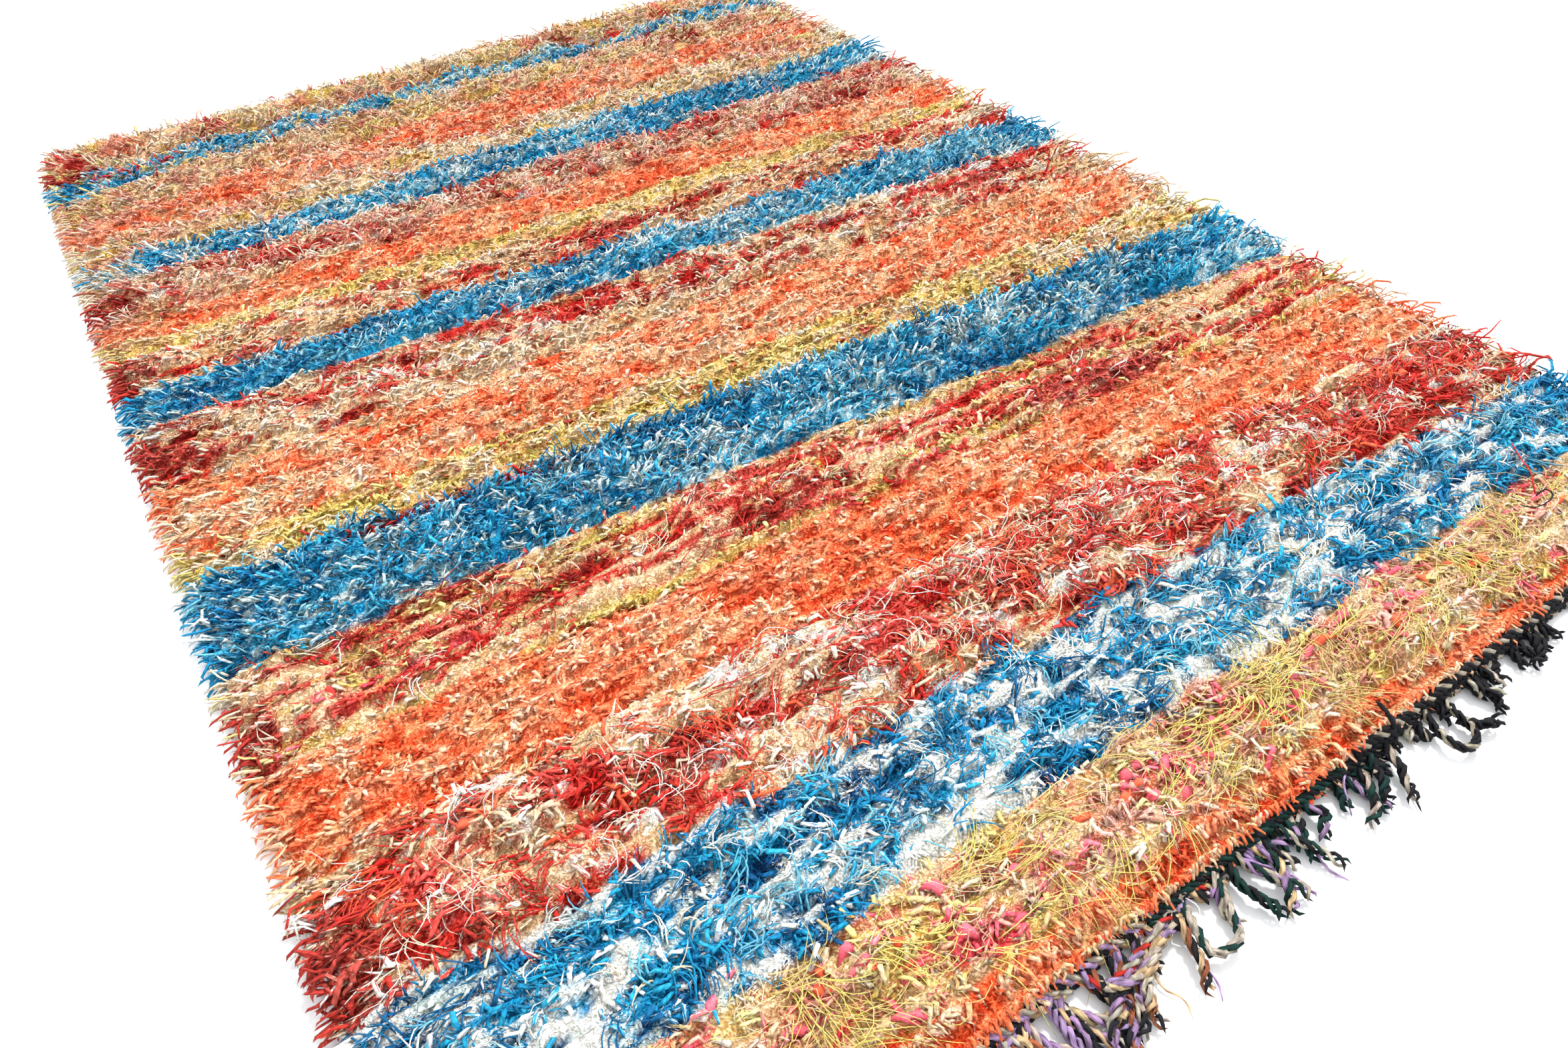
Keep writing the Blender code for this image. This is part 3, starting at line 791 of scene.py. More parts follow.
# Painted light and shade: the ends' dyes lighter on the clumps and darker in the hollows.
colours = clump_lit_and_shaded(colours, x, y)
second_colours = clump_lit_and_shaded(second_colours, x, y)
hidden = pale & (to_near < WOOL_PART) & (dice.uniform(size=count) < WOOL_SHARE)
hidden |= ~thin & (place >= np.interp(to_near, PLACES, THICK_THERE))
hidden |= place >= THICK_ENDS + np.interp(to_near, PLACES, THIN_THERE)
for number, stripe in enumerate(CHART):
    # The last column darkens the roots as painted shade, below 0, and lightens the tips, above 0,
    # as sun fading and painted highlight.
    for part, kind, shares, widths, root_shade_tip_fade in (
        (near & ~thin, "curled", CURLED_SHARES, (0.7, 1.0, 0.9, 0.3), (-2, 0, 0.6, 1)),
        (~near & ~thin, "short", SHORT_SHARES, (1.0, 1.0, 0.3), (-2, 0.5, 1)),
        (thin, "thin", THIN_SHARES, (1.2, 0), (-2, 1)),
    ):
        here = (stripes == number) & part & ~hidden
        if not here.any():
            continue
        paths = grow(
            roots[here], heading[here], length[here], lean[here], fall[here], turn[here], shares
        )
        dyes = faded_and_shaded(colours[here], root_shade_tip_fade, np.random.default_rng(300 + number))
        seconds = faded_and_shaded(second_colours[here], root_shade_tip_fade, np.random.default_rng(330 + number))
        name = "pile_" + stripe["name"] + "_" + kind
        piece = yarn_mesh(name, paths, radius[here, None] * widths, dyes, seconds, 3, FLATNESS)
        keep_yarn(piece, pile_yarn)

# Rim locks
# At the sides and the far end the outermost tufts have nothing to lean on. Their ends reach out
# and hang down over the edge to the floor; at the fringed end they stand as a wall over the warp.
RIM_PITCH = 0.0100
RIM_RADIUS = {"left": 0.0019, "right": 0.0019, "far": 0.0019, "near": 0.0018}
RIM_STRAY = {"left": 0.45, "right": 0.45, "far": 0.45, "near": 0.85}
# Height of the roots, and length.
RIM_LAYERS = ((0.006, 0.026), (0.013, 0.030), (0.020, 0.032), (0.027, 0.036), (0.034, 0.038))
RIGHT_LAYERS = ((0.006, 0.034), (0.013, 0.038), (0.020, 0.042), (0.027, 0.046), (0.034, 0.048))
FAR_LAYERS = ((0.008, 0.020), (0.018, 0.022), (0.028, 0.022), (0.037, 0.020), (0.045, 0.020))
WALL_LAYERS = ((0.016, 0.010), (0.021, 0.011), (0.025, 0.012), (0.029, 0.013), (0.032, 0.014))
RIM_SHARES = (0.40, 0.45, 0.15)
RIM_REACH = {"left": 0.038, "right": 0.058, "far": 0.034, "near": 0.022}
RIM_LEAN = {"left": (-5, 35), "right": (-5, 35), "far": (-5, 35), "near": (-60, 10)}
FAR_HALF = 0.855  # from the middle to the outermost lock at the far end
NEAR_HALF = 0.865

along_side = np.arange(PILE_LOW.y + 0.02, PILE_HIGH.y - 0.03, RIM_PITCH)
sides = {
    "left": (along_side, math.pi, RIM_LAYERS), "right": (along_side, 0, RIGHT_LAYERS),
    "far": (np.arange(-FAR_HALF, FAR_HALF, RIM_PITCH), math.pi / 2, FAR_LAYERS),
    "near": (np.arange(-NEAR_HALF, NEAR_HALF, RIM_PITCH), -math.pi / 2, WALL_LAYERS),
}
for seed, (side, (places, out, layers)) in enumerate(sides.items()):
    dice = np.random.default_rng(30 + seed)
    places = np.tile(places, len(layers))
    count = len(places)
    places = places + dice.uniform(-0.5, 0.5, count) * RIM_PITCH
    layer = np.repeat(np.arange(len(layers)), count // len(layers))
    high = np.array(layers)[layer, 0] * dice.uniform(0.85, 1.15, count)
    long = np.array(layers)[layer, 1] * np.exp(dice.normal(0, 0.2, count))
    edge = BED_WIDTH / 2 - 0.003 - 0.1 * high
    x, y = {
        "left": (-edge, places), "right": (edge, places),
        "far": (places, PILE_LOW.y + BED_LENGTH - 0.004 - 0.12 * high),
        "near": (places, PILE_LOW.y + 0.003 + 0.1 * high),
    }[side]
    roots = draw_in(np.stack([x, y, high], axis=1))
    x, y = roots[:, 0], roots[:, 1]
    clump = mottle(places, layer * 0.7, 0.02, 1, 40 + seed)
    colours = pick_dyes(x, y, stripe_at(x, y), luck_of(count, 0.6, 44 + seed))
    paths = grow(
        roots, out + 0.7 * clump + dice.normal(0, RIM_STRAY[side], count),
        np.minimum(long * (1 + 0.3 * clump), RIM_REACH[side]),
        np.radians(dice.uniform(*RIM_LEAN[side], count)), np.radians(dice.uniform(15, 45, count)),
        dice.normal(0, 0.45, count), RIM_SHARES,
    )
    dyes = faded_and_shaded(colours * 0.93, (0, 0.2, 0.5, 0.8), dice)
    radius = RIM_RADIUS[side] * dice.uniform(0.7, 1.3, count)[:, None] * (0.8, 1, 0.8, 0.3)
    keep_yarn(yarn_mesh("rim_locks_" + side, paths, radius, dyes), pile_yarn)

# Long fibres
# Some yarn was cut long and has come undone. Bast threads in yellow arch over the straw stripe in
# sheaves, white and red wool curls over its stripes, and blue yarn sweeps along between white
# tufts.
# Each row: stripe, how many sheaves, ends in each, spread, length, radius, heading and how far it
# varies, curl, arch, rings, dyes. Lengths in metres and angles in radians.
LONG_COLUMNS = (
    "name", "stripe", "sheaves", "ends", "spread", "length", "radius", "heading", "vary", "curl",
    "arch", "rings", "dyes",
)
LONG_ROWS = [
    ("bast_threads", "straw_tangle", 84, 8, 0.006, 0.084, 0.00052, -0.9, 0.6, 1.5, 0.006, 7,
     ("lemon", "lemon", "straw")),
    ("loose_bast", "straw_tangle", 80, 1, 0.02, 0.070, 0.00048, -0.8, 1.2, 2.4, 0.007, 7,
     ("lemon", "straw", "cream")),
    ("bast_fluff", "straw_tangle", 110, 4, 0.007, 0.034, 0.0008, -0.6, 1.6, 2.4, 0.002, 5,
     ("cream", "tan", "rose", "straw")),
    ("white_curls", "red_tangle", 90, 4, 0.006, 0.060, 0.00060, 0.1, 0.9, 2.6, 0.003, 9,
     ("white", "white", "cream", "cream")),
    ("red_curls", "red_tangle", 140, 6, 0.005, 0.052, 0.0009, 0.0, 0.7, 1.3, 0.002, 6,
     ("red", "dark_red", "red", "coral")),
    ("blue_sweeps", "blue_and_white", 210, 6, 0.006, 0.036, 0.0010, 0.1, 0.7, 1.3, 0.002, 5,
     ("blue", "blue", "deep_blue", "sky")),
    ("white_sweeps", "blue_and_white", 70, 5, 0.006, 0.032, 0.0009, 0.2, 0.9, 1.6, 0.002, 5,
     ("white", "white", "pale", "cream")),
    ("row_curls", "thin_rows", 60, 4, 0.006, 0.040, 0.0007, 0.1, 0.7, 1.3, 0.002, 5,
     ("cream", "white", "red", "dark_red")),
    ("blue_curls", "blue_four", 140, 3, 0.007, 0.028, 0.0010, 0.6, 1.6, 1.8, 0.003, 5,
     ("blue", "blue", "sky", "deep_blue")),
    ("brown_curls", "brown_tangle", 80, 4, 0.006, 0.038, 0.0009, 0.8, 1.2, 1.3, 0.004, 5,
     ("rose", "cream", "rose", "dark_red")),
    ("far_curls", "straw_one", 70, 4, 0.006, 0.038, 0.0010, 1.0, 1.2, 1.3, 0.004, 5,
     ("cream", "straw", "rose", "tan")),
    ("end_curls", "far_end", 70, 4, 0.006, 0.036, 0.0011, 1.2, 1.0, 1.6, 0.004, 5,
     ("cream", "tan", "rose", "straw")),
]
ROOT_HALF = 0.862  # from the middle of the rug to the outermost root
LONG_TIP_HALF = 0.895
SIDE_PART = 0.62  # from there outwards the ends are turned inwards and kept short
LONG_LEAST = 0.03
LONG_SPOTS = (0.85, 0.1, 0.95)  # half, least and most, as scatter takes them
LONG_NEAR = 0.012  # from the fringed end
LONG_FAR = 0.035  # from the far end
LONG_OVERHANG = 0.025  # how far the tips may pass the fringed end
LAY_ABOVE = 0.0015  # above the pile
LAY_CLIMB = 0.02  # most that the pile under an end may rise from its root on
ROOT_SINK = 0.010


def scatter(stripe, count, half, least, most, dice):
    """Random places in a stripe, up to half from the middle of the rug, and from the least to the
    most share of the stripe's depth."""
    x = dice.uniform(-half, half, count)
    number = [row["name"] for row in CHART].index(stripe)
    low = stripe_edge(CHART[number - 1], x) if number else x * 0
    high = stripe_edge(CHART[number], x)
    return x, FRINGED_END + low + (high - low) * dice.uniform(least, most, count)


def lay(starts, heading, length, bend, stray, arch, rings, dice):
    """Middles of the rings of long ends that lie over the top of the pile and bend sideways."""
    count = len(starts)
    share = np.linspace(0, 1, rings)
    paths = np.empty((count, rings, 3))
    paths[:, 0, :2] = starts
    way = heading.copy()
    for ring in range(1, rings):
        way = way + bend / (rings - 1) + dice.normal(0, stray, count)
        step = length / (rings - 1)
        paths[:, ring, 0] = paths[:, ring - 1, 0] + np.cos(way) * step
        paths[:, ring, 1] = paths[:, ring - 1, 1] + np.sin(way) * step
    top = pile_height(paths[..., 0], paths[..., 1])
    for _ in range(2):
        top[:, 1:-1] = (top[:, :-2] + 2 * top[:, 1:-1] + top[:, 2:]) / 4
    top = np.minimum(top, top[:, :1] + LAY_CLIMB)
    rise = dice.uniform(0.3, 1.3, count)[:, None] * arch * np.sin(math.pi * share ** 0.8)
    sink = ROOT_SINK * (1 - share) ** 6
    paths[..., 0] = np.clip(paths[..., 0], -PILE_REACH, PILE_REACH)
    paths[..., 2] = np.clip(top + LAY_ABOVE + rise - sink, 0.003, PILE_CEILING)
    return paths


for seed, row in enumerate(LONG_ROWS):
    row = dict(zip(LONG_COLUMNS, row))
    dice = np.random.default_rng(60 + seed)
    spots = scatter(row["stripe"], row["sheaves"], *LONG_SPOTS, dice)
    count = row["sheaves"] * row["ends"]
    starts = np.repeat(np.stack(spots, axis=1), row["ends"], axis=0)
    starts = starts + dice.normal(0, row["spread"], starts.shape)
    starts[:, 0] = np.clip(starts[:, 0], -ROOT_HALF, ROOT_HALF)
    starts[:, 1] = np.clip(starts[:, 1], FRINGED_END + LONG_NEAR, PILE_HIGH.y - LONG_FAR)
    heading = np.repeat(row["heading"] + dice.normal(0, row["vary"], row["sheaves"]), row["ends"])
    heading = heading + dice.normal(0, 0.18, count)
    bend = np.repeat(dice.normal(0, row["curl"], row["sheaves"]), row["ends"])
    bend = bend + dice.normal(0, 0.4 * row["curl"], count)
    outward = starts[:, 0] * np.cos(heading) < 0
    at_side = np.abs(starts[:, 0]) > SIDE_PART
    heading = np.where(outward & at_side, math.pi - heading, heading)
    long = row["length"] * np.exp(dice.normal(0, 0.25, count))
    reach = np.where(at_side, LONG_TIP_HALF - np.abs(starts[:, 0]), 1)
    reach = reach / np.maximum(np.abs(np.cos(heading)), 0.3)
    depth = starts[:, 1] - (FRINGED_END - LONG_OVERHANG)
    drop = np.where(np.sin(heading) < -0.2, depth / np.maximum(-np.sin(heading), 0.2), 1)
    long = np.minimum(long, np.maximum(np.minimum(reach, drop), LONG_LEAST))
    paths = lay(starts, heading, long, bend, 0.1 * row["curl"], row["arch"], row["rings"], dice)
    picks = dice.integers(0, len(row["dyes"]), row["sheaves"])
    colours = np.array([daylight(name) for name in row["dyes"]])[np.repeat(picks, row["ends"])]
    share = np.linspace(0, 1, row["rings"])
    dyes = faded_and_shaded(colours, share * 0.7, dice)
    radius = row["radius"] * dice.uniform(0.8, 1.25, count)[:, None] * (1 - 0.5 * share ** 3)
    keep_yarn(yarn_mesh(row["name"], paths, radius, dyes), pile_yarn)

# Standing ends
# Here and there a few ends of stiffer yarn stand up out of the pile, most of all along the far
# edge of the broad blue stripe and in the brown and straw ones.
# Each row: stripe, nearest and farthest as shares of its depth, clumps, ends in each, length, dyes.
STANDING_ROWS = [
    ("blue_four", 0.72, 1.0, 44, 5, 0.032, ("blue", "blue", "deep_blue")),
    ("blue_three", 0.6, 1.0, 14, 3, 0.024, ("blue", "sky")),
    ("blue_two", 0.2, 1.0, 12, 3, 0.024, ("blue", "sky")),
    ("brown_tangle", 0.1, 0.9, 26, 5, 0.028, ("rose", "rose", "dark_red", "cream")),
    ("cream_rows", 0.3, 1.0, 16, 4, 0.026, ("brown", "rose", "cream")),
    ("straw_one", 0.2, 1.0, 20, 4, 0.026, ("brown", "tan", "dark_red")),
    ("red_three", 0.2, 0.9, 10, 4, 0.024, ("dark_red", "cream")),
    ("blue_and_white", 0.7, 1.0, 16, 4, 0.026, ("blue", "blue", "deep_blue")),
]
SPOT_HALF = 0.82  # from the middle of the rug to the outermost clump
STANDING_ROOT = 0.006
STANDING_LEAN = (55, 85)
STANDING_RADIUS = (0.0009, 0.0016)
for seed, (stripe, least, most, clumps, number, reach, names) in enumerate(STANDING_ROWS):
    dice = np.random.default_rng(500 + seed)
    spots = scatter(stripe, clumps, SPOT_HALF, least, most, dice)
    spots = np.repeat(np.stack(spots, axis=1), number, axis=0)
    count = len(spots)
    spots = spots + dice.normal(0, 0.003, spots.shape)
    depth = pile_height(spots[:, 0], spots[:, 1]) - STANDING_ROOT
    colours = np.repeat([daylight(name) for name in dice.choice(names, clumps)], number, axis=0)
    paths = grow(
        np.column_stack([spots, depth]), dice.uniform(-math.pi, math.pi, count),
        reach * dice.uniform(0.7, 1.2, count), np.radians(dice.uniform(*STANDING_LEAN, count)),
        np.radians(dice.uniform(0, 22, count)), dice.normal(0, 0.3, count), RIM_SHARES,
    )
    dyes = faded_and_shaded(colours, (0, 0.2, 0.5, 0.8), dice)
    radius = dice.uniform(*STANDING_RADIUS, count)[:, None] * (1, 0.9, 0.7, 0.3)
    keep_yarn(yarn_mesh("standing_" + stripe, paths, radius, dyes), pile_yarn)

# Rags
# Strips of coral pink cotton cloth, 8 to 15 mm wide, were knotted in among the straw and the red
# yarn. They lie flat, twist a little and show frayed edges.
RAG_RINGS = 9
RAG_WIDTH = (0.0038, 0.0075)
RAG_THICKNESS = 0.0006
RAG_LENGTH = (0.020, 0.060)
RAG_LEAST = 0.03
RAG_DEPTH = 0.0045
RAG_WAVE = 0.004
# Each row: stripe, how many, heading, how far it varies, dyes.
RAG_ROWS = [
    ("straw_tangle", 110, -0.7, 0.9, ("pink", "pink", "rose", "coral")),
    ("red_tangle", 18, 0.1, 0.7, ("red", "coral")),
    ("thin_rows", 6, 0.1, 0.5, ("red", "rose")),
    ("brown_tangle", 8, 0.5, 0.8, ("rose", "dark_red")),
]


def strip_mesh(name, paths, half_widths, half_depths, dyes, tilts):
    """Joins flat strips of cloth, each a closed four-sided tube that narrows at its ends."""
    count, rings = paths.shape[:2]
    level, over = beside(paths)
    lean, up = np.cos(tilts)[..., None], np.sin(tilts)[..., None]
    across = (level * lean + over * up) * half_widths[..., None]
    out = (over * lean - level * up) * half_depths[..., None]
    around = np.stack([paths + across, paths + out, paths - across, paths - out], axis=2)
    faces = []
    for ring in range(rings - 1):
        for side in range(4):
            a, b = ring * 4 + side, ring * 4 + (side + 1) % 4
            faces += [(a, b, b + 4), (a, b + 4, a + 4)]
    last = (rings - 1) * 4
    faces += [(0, 2, 1), (0, 3, 2), (last, last + 1, last + 2), (last, last + 2, last + 3)]
    piece = many_of(name, around.reshape(count, -1, 3), faces)
    dye_mesh(piece.data, np.repeat(dyes, 4, axis=1).reshape(-1, 3))
    return piece


rag_cloth, tree, shader = new_material("rag_cloth", roughness=0.85)
dye = add_node(tree, "ShaderNodeAttribute", attribute_name="dye")
where = add_node(tree, "ShaderNodeTexCoord")
threads = add_node(tree, "ShaderNodeTexNoise", {"Scale": 420, "Detail": 2, "Distortion": 0.6})
shade = add_node(
    tree, "ShaderNodeMapRange", {"From Min": 0.3, "From Max": 0.7, "To Min": 0.7, "To Max": 1.15}
)
tint = add_node(tree, "ShaderNodeVectorMath", operation="SCALE")
relief = add_node(tree, "ShaderNodeBump", {"Strength": 0.7, "Distance": 0.001})
wire(
    tree, (where, "Object", threads, "Vector"), (threads, "Fac", shade, "Value"),
    (dye, "Color", tint, 0), (shade, 0, tint, "Scale"), (tint, 0, shader, "Base Color"),
    (threads, "Fac", relief, "Height"), (relief, 0, shader, "Normal"),
)

dice = np.random.default_rng(90)
starts, heading, colours = [], [], []
for stripe, number, way, vary, names in RAG_ROWS:
    starts.append(np.stack(scatter(stripe, number, SPOT_HALF, 0.15, 0.95, dice), axis=1))
    heading.append(way + dice.normal(0, vary, number))
    colours += [daylight(name) for name in dice.choice(names, number)]
starts, heading, colours = np.concatenate(starts), np.concatenate(heading), np.array(colours)
count = len(starts)
long = dice.uniform(*RAG_LENGTH, count)
long = np.minimum(long, np.maximum(starts[:, 1] - FRINGED_END, RAG_LEAST))
bend = dice.normal(0, 1.2, count)
paths = lay(starts, heading, long, bend, 0.12, 0.001, RAG_RINGS, dice)
wave = np.sin(np.linspace(0, 9, RAG_RINGS) + dice.uniform(0, 6, (count, 1)))
paths[..., 2] -= RAG_DEPTH + RAG_WAVE * wave
share = np.linspace(0, 1, RAG_RINGS)
narrow = np.clip(np.minimum(share, 1 - share) * 4, 0.2, 1)
width = dice.uniform(*RAG_WIDTH, count)[:, None] * narrow
width = width * dice.uniform(0.7, 1.2, (count, RAG_RINGS))
tilt = dice.normal(0, 0.35, (count, 1)) + dice.normal(0, 0.9, (count, 1)) * (share - 0.5)
dyes = faded_and_shaded(colours, np.full(RAG_RINGS, 0.5), dice)
thickness = np.full((count, RAG_RINGS), RAG_THICKNESS)
keep_yarn(strip_mesh("rags", paths, width, thickness, dyes, tilt), rag_cloth)

# Warp fringe
# The warp's own ends are loose cords of three plies of cotton in several colours. Along the edge
# they are twined round each other, and past it they lie on the floor in bunches, curl and fray.
PLY_RADIUS = 0.0031
PLY_SPREAD = 0.0034
PLIES = 3
CORD_TURN = 0.034  # length of one turn of the plies
CORD_RINGS = 17
CORD_SHADE = 0.66  # the cords' dyes are duller than the pile's
CORD_FLOOR = 0.0066  # height of a cord's middle where it lies on the floor
FRINGE_REACH = 0.092
FRINGE_HALF = 0.885  # half the width that the cords keep to
CORD_STARTS = (0.007, 0.013)  # height of a cord's middle at the pile's end
CORDS_IN_A_BUNCH = 4
BUNCH_SHARE = 0.75  # of a cord's place; the rest is spread evenly
FRINGE_START = 0.035  # from the left side
# Each row: where a zone ends, from the left side, cords, length, curl, dyes of the plies.
FRINGE_ZONES = [
    (0.66, 68, 0.078, 0.5, ("lilac", "ecru", "ecru", "lilac", "tan", "black", "brown")),
    (0.80, 14, 0.036, 0.8, ("lilac", "ecru", "red", "tan", "black")),
    (0.99, 24, 0.044, 1.1, ("green", "black", "ecru", "green", "lilac", "green", "black")),
    (1.80, 72, 0.034, 1.3, ("black", "black", "black", "black", "black", "ecru")),
]
# Cords that the eye picks out, through points in millimetres from the left side and from the
# fringed end. Each row: their dyes, the points.
PICKED_CORDS = [
    (("green", "ecru", "ecru"), ((737, 4), (725, -25), (720, -41), (716, -56), (724, -64),
     (743, -66), (754, -60), (762, -44), (770, -29), (780, 2))),
    (("lilac", "ecru", "red"), ((606, 4), (604, -12), (613, -24), (640, -27), (667, -20),
     (690, -16), (720, -8), (738, 2))),
    (("lilac", "tan", "ecru"), ((612, 4), (610, -20), (622, -33), (645, -36), (670, -29),
     (694, -24), (722, -16), (744, 0))),
    (("ecru", "lilac", "black"), ((650, -24), (634, -34), (612, -42), (592, -56), (586, -70))),
    (("ecru", "tan", "ecru"), ((700, -10), (680, -26), (662, -36), (645, -46), (638, -58),
     (628, -66))),
    (("tan", "black", "brown"), ((722, 2), (714, -24), (709, -40), (702, -60), (686, -84))),
    (("green", "black", "green"), ((802, 4), (794, -20), (793, -38), (799, -54), (802, -62),
     (798, -76))),
    (("green", "lilac", "ecru"), ((808, 4), (812, -12), (818, -30), (829, -51), (839, -66),
     (836, -78))),
    (("lilac", "tan", "green"), ((828, 4), (838, -22), (840, -38), (826, -58), (810, -79))),
    (("black", "ecru", "green"), ((866, 4), (873, -20), (881, -42), (889, -60), (893, -76))),
    (("green", "black", "lilac"), ((912, 4), (915, -13), (924, -26), (910, -34), (902, -46))),
    (("black", "green", "ecru"), ((998, 2), (990, -26), (978, -44), (962, -56), (948, -60))),
    (("black", "black", "green"), ((1022, 2), (1008, -30), (996, -44), (986, -56))),
    (("black", "black", "ecru"), ((1046, 2), (1036, -30), (1024, -48), (1010, -70))),
    (("black", "black", "ecru"), ((1120, 2), (1108, -28), (1102, -46), (1106, -60), (1122, -64),
     (1136, -56), (1140, -40), (1152, 0))),
    (("black", "black", "black"), ((1138, -36), (1146, -50), (1160, -57), (1174, -62))),
    (("black", "black", "ecru"), ((1214, 0), (1219, -16), (1221, -28), (1230, -36))),
    (("black", "ecru", "black"), ((1190, 0), (1193, -24), (1200, -36), (1214, -42))),
    (("black", "black", "black"), ((1312, 0), (1304, -26), (1290, -38), (1272, -42))),
]


def through(points, rings):
    """Evenly spaced points on a smooth curve through some points in millimetres."""
    points = np.array(points) / 1000
    ends = np.concatenate([2 * points[:1] - points[1:2], points, 2 * points[-1:] - points[-2:-1]])
    fine = []
    for a, b, c, d in zip(ends, ends[1:], ends[2:], ends[3:]):
        for t in np.linspace(0, 1, 12, endpoint=False):
            bend = 2 * a - 5 * b + 4 * c - d + t * (3 * (b - c) + d - a)
            fine.append(b + 0.5 * t * (c - a + t * bend))
    fine = np.array(fine + [points[-1]])
    run = np.concatenate([[0], np.cumsum(np.linalg.norm(np.diff(fine, axis=0), axis=1))])
    wanted = np.linspace(0, run[-1], rings)
    return np.stack([np.interp(wanted, run, values) for values in fine.T], axis=1)


def ply(middles, dye_sets, turn, spread, radius, fray, dice):
    """The plies that are laid round each of some cords' middles, as paths, radii and colours. Where
    the fringe's limits hold a cord back its rings meet, and its plies meet too."""
    count, rings = middles.shape[:2]
    level, over = beside(middles, upright=(0.0, 0.0, 0.0))
    run = run_of(middles)
    share = np.linspace(0, 1, rings)
    start = dice.uniform(0, 2 * math.pi, (count, 1))
    paths, radii, colours = [], [], []
    for number in range(PLIES):
        angle = start + 2 * math.pi * (run / turn + number / PLIES)
        loose = spread * (1 + fray * share ** 6 * dice.uniform(0.3, 1.6, (count, 1)))
        spoke = level * np.cos(angle)[..., None] + over * np.sin(angle)[..., None]
        path = middles + spoke * loose[..., None]
        path[..., 2] = np.maximum(path[..., 2], radius * 1.5 + 0.0002)
        paths.append(path)
        radii.append(radius * dice.uniform(0.8, 1.15, (count, 1)) * (1 - 0.35 * share ** 4))
        colours.append(np.array([daylight(dyes[number]) for dyes in dye_sets]))
    dyes = faded_and_shaded(np.concatenate(colours) * CORD_SHADE, share * 0.3, dice)
    return np.concatenate(paths), np.concatenate(radii), dyes


dice = np.random.default_rng(70)
middles, dye_sets = [], []
low = FRINGE_START
for high, cords, length, curl, dyes in FRINGE_ZONES:
    bunches = round(cords / CORDS_IN_A_BUNCH)
    for cord in range(cords):
        bunch = (cord * bunches // cords + 0.5) / bunches
        bunch_dice = np.random.default_rng(700 + int(1000 * low) + int(bunch * 97))
        sway, bend = bunch_dice.normal(0, 0.7 * curl), bunch_dice.normal(0, curl)
        place = BUNCH_SHARE * bunch + (1 - BUNCH_SHARE) * (cord + 0.5) / cords
        x = CORNER.x + low + (high - low) * place
        x = np.clip(x + dice.normal(0, 0.004), -ROOT_HALF, ROOT_HALF)
        long = length * math.exp(dice.normal(0, 0.25))
        way = -math.pi / 2 + sway + dice.normal(0, 0.25)
        bend = bend + dice.normal(0, 0.4)
        at = np.array([x, FRINGED_END + 0.001, dice.uniform(*CORD_STARTS)])
        path = [at]
        for ring in range(1, CORD_RINGS):
            share = ring / (CORD_RINGS - 1)
            way += bend * 2 * share / CORD_RINGS + dice.normal(0, 0.10)
            at = at + np.array([math.cos(way), math.sin(way), 0]) * long / (CORD_RINGS - 1)
            height = CORD_FLOOR + (path[0][2] - CORD_FLOOR) * (1 - share) ** 2
            across = min(max(at[0], -FRINGE_HALF), FRINGE_HALF)
            path.append(np.array([across, max(at[1], FRINGED_END - FRINGE_REACH), height]))
        middles.append(np.array(path))
        dye_sets.append([dyes[pick] for pick in dice.integers(0, len(dyes), PLIES)])
    low = high
for number, (dyes, points) in enumerate(PICKED_CORDS):
    spot = through(points, CORD_RINGS)
    share = np.linspace(0, 1, CORD_RINGS)
    height = CORD_FLOOR + 0.003 + 0.004 * np.sin(share * 9 + number) ** 2
    spot = np.stack([spot[:, 0] + CORNER.x, spot[:, 1] + FRINGED_END, height], axis=1)
    middles.append(spot)
    dye_sets.append(dyes)
middles = np.array(middles)
paths, radii, dyes = ply(middles, dye_sets, CORD_TURN, PLY_SPREAD, PLY_RADIUS, 1.0, dice)
cord_cotton = yarn_material("cord_cotton", 60, 0.40)
cords = yarn_mesh("warp_cords", paths, radii, dyes, rough=0.1)
keep_yarn(cords, cord_cotton)
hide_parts("warp_fringe")

# The cords that are twined along the edge, one above the other, in front of the pile's end.
# Each row: from and to, from the left side, distance from the fringed end, height, dyes.
TWINED_ROWS = [
    (0.045, 0.960, 0.0050, 0.0062, ("black", "ecru", "tan")),
    (0.060, 0.700, 0.0030, 0.0135, ("lilac", "black", "ecru")),
    (0.690, 0.990, 0.0040, 0.0140, ("green", "green", "black")),
    (0.940, 1.755, 0.0060, 0.0062, ("black", "black", "ecru")),
    (0.960, 1.760, 0.0045, 0.0138, ("black", "black", "black")),
    (1.000, 1.750, 0.0020, 0.0208, ("black", "black", "ecru")),
]
TWINE_STEP = 0.0045
TWINE = (0.028, 0.0032, 0.0034, 0.3)  # one turn's length, spread, the plies' radius, fray
for number, (start, end, ahead_of, height, row_dyes) in enumerate(TWINED_ROWS):
    dice = np.random.default_rng(80 + number)
    rings = round((end - start) / TWINE_STEP)
    x = np.linspace(start, end, rings) + CORNER.x
    y = FRINGED_END - ahead_of + 0.0025 * mottle(x, x * 0, 0.03, 1, 81 + number)
    z = height + 0.0022 * mottle(x, x * 0, 0.022, 1, 91 + number)
    middle = np.stack([x, y, z], axis=1)[None]
    paths, radii, dyes = ply(middle, [row_dyes], *TWINE, dice)
    piece = yarn_mesh("twined_row_%d" % number, paths, radii, dyes, sides=4, rough=0.1)
    keep_yarn(piece, cord_cotton)

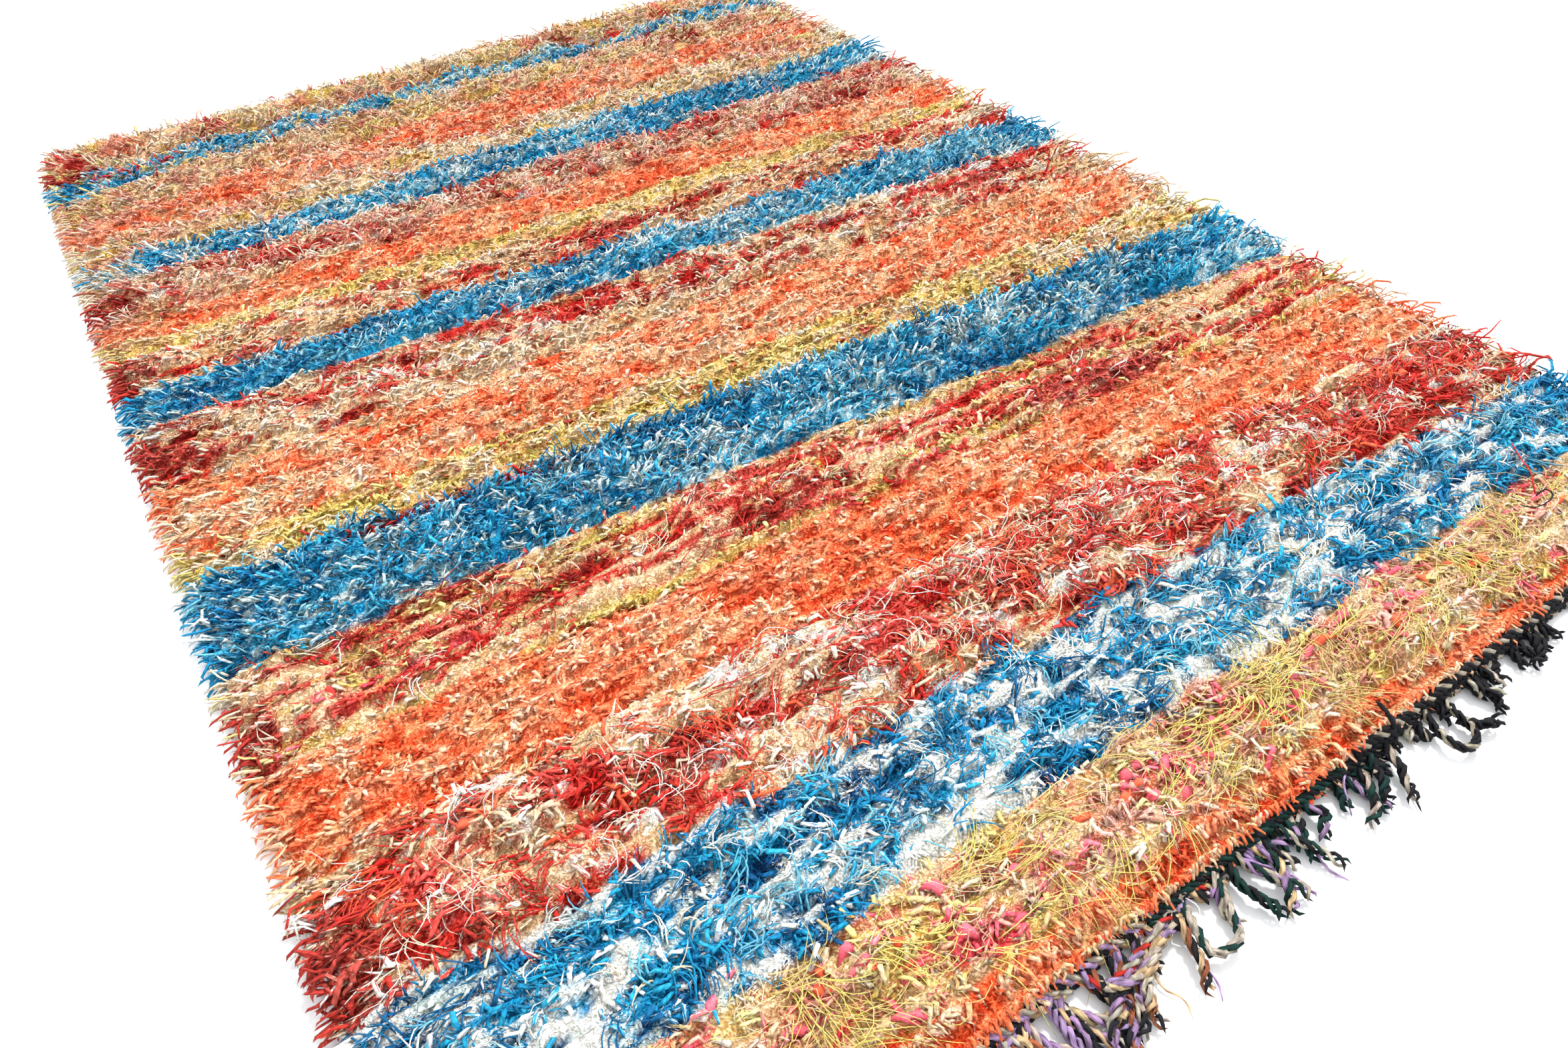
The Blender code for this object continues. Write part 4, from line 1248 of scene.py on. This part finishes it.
# Single threads
# A black cord stands up against the pile's end, thin white ends have come out of the dark cords,
# and a red and a black thread lie loose on the blue and white stripe.
# Each row: dye, radius in metres, points in millimetres from the left side, from the fringed end
# and up.
SINGLE_THREADS = [
    ("black", 0.0030, ((1062, -6, 10), (1058, -5, 30), (1052, 2, 44), (1046, 12, 56),
     (1044, 20, 59))),
    ("red", 0.0011, ((1500, 105, 46), (1512, 118, 52), (1524, 130, 55), (1540, 150, 53),
     (1560, 178, 56))),
    ("black", 0.0011, ((1495, 102, 48), (1509, 100, 53), (1505, 90, 55), (1490, 85, 54),
     (1470, 90, 50), (1462, 104, 48))),
    ("white", 0.0009, ((735, -4, 14), (715, -12, 13), (704, -24, 11), (695, -30, 10),
     (702, -40, 9))),
    ("white", 0.0009, ((735, -4, 15), (728, -18, 13), (716, -26, 12), (720, -40, 11),
     (708, -48, 6))),
    ("white", 0.0008, ((737, -6, 13), (742, -20, 12), (734, -32, 11), (744, -44, 10))),
    ("lilac", 0.0011, ((704, -57, 6), (706, -74, 3), (700, -86, 3), (694, -94, 3))),
    ("tan", 0.0012, ((668, -30, 9), (660, -52, 4), (668, -72, 3), (660, -90, 3))),
    ("lilac", 0.0014, ((876, -14, 12), (884, -40, 7), (880, -64, 4), (888, -86, 3))),
    ("lilac", 0.0014, ((812, -8, 13), (830, -30, 10), (846, -54, 6), (848, -74, 4))),
    ("lilac", 0.0013, ((992, -4, 14), (968, -14, 15), (956, -30, 10), (946, -44, 6))),
    ("black", 0.0016, ((1040, -4, 12), (1036, -34, 8), (1024, -58, 4), (1010, -80, 3))),
]
THREAD_RINGS = 12
share = np.linspace(0, 1, THREAD_RINGS)
paths = np.array([through(points, THREAD_RINGS) for _, _, points in SINGLE_THREADS])
paths = paths + (CORNER.x, FRINGED_END, 0)
paths[..., 2] = np.clip(paths[..., 2], 0.003, PILE_CEILING)
radii = np.array([radius for _, radius, _ in SINGLE_THREADS])[:, None] * (1 - 0.4 * share ** 4)
colours = np.array([daylight(name) for name, _, _ in SINGLE_THREADS])
dyes = faded_and_shaded(colours, share * 0.2, np.random.default_rng(95))
keep_yarn(yarn_mesh("single_threads", paths, radii, dyes, sides=4), cord_cotton)

# The box round everything that is shown, the floor left out
low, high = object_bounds()
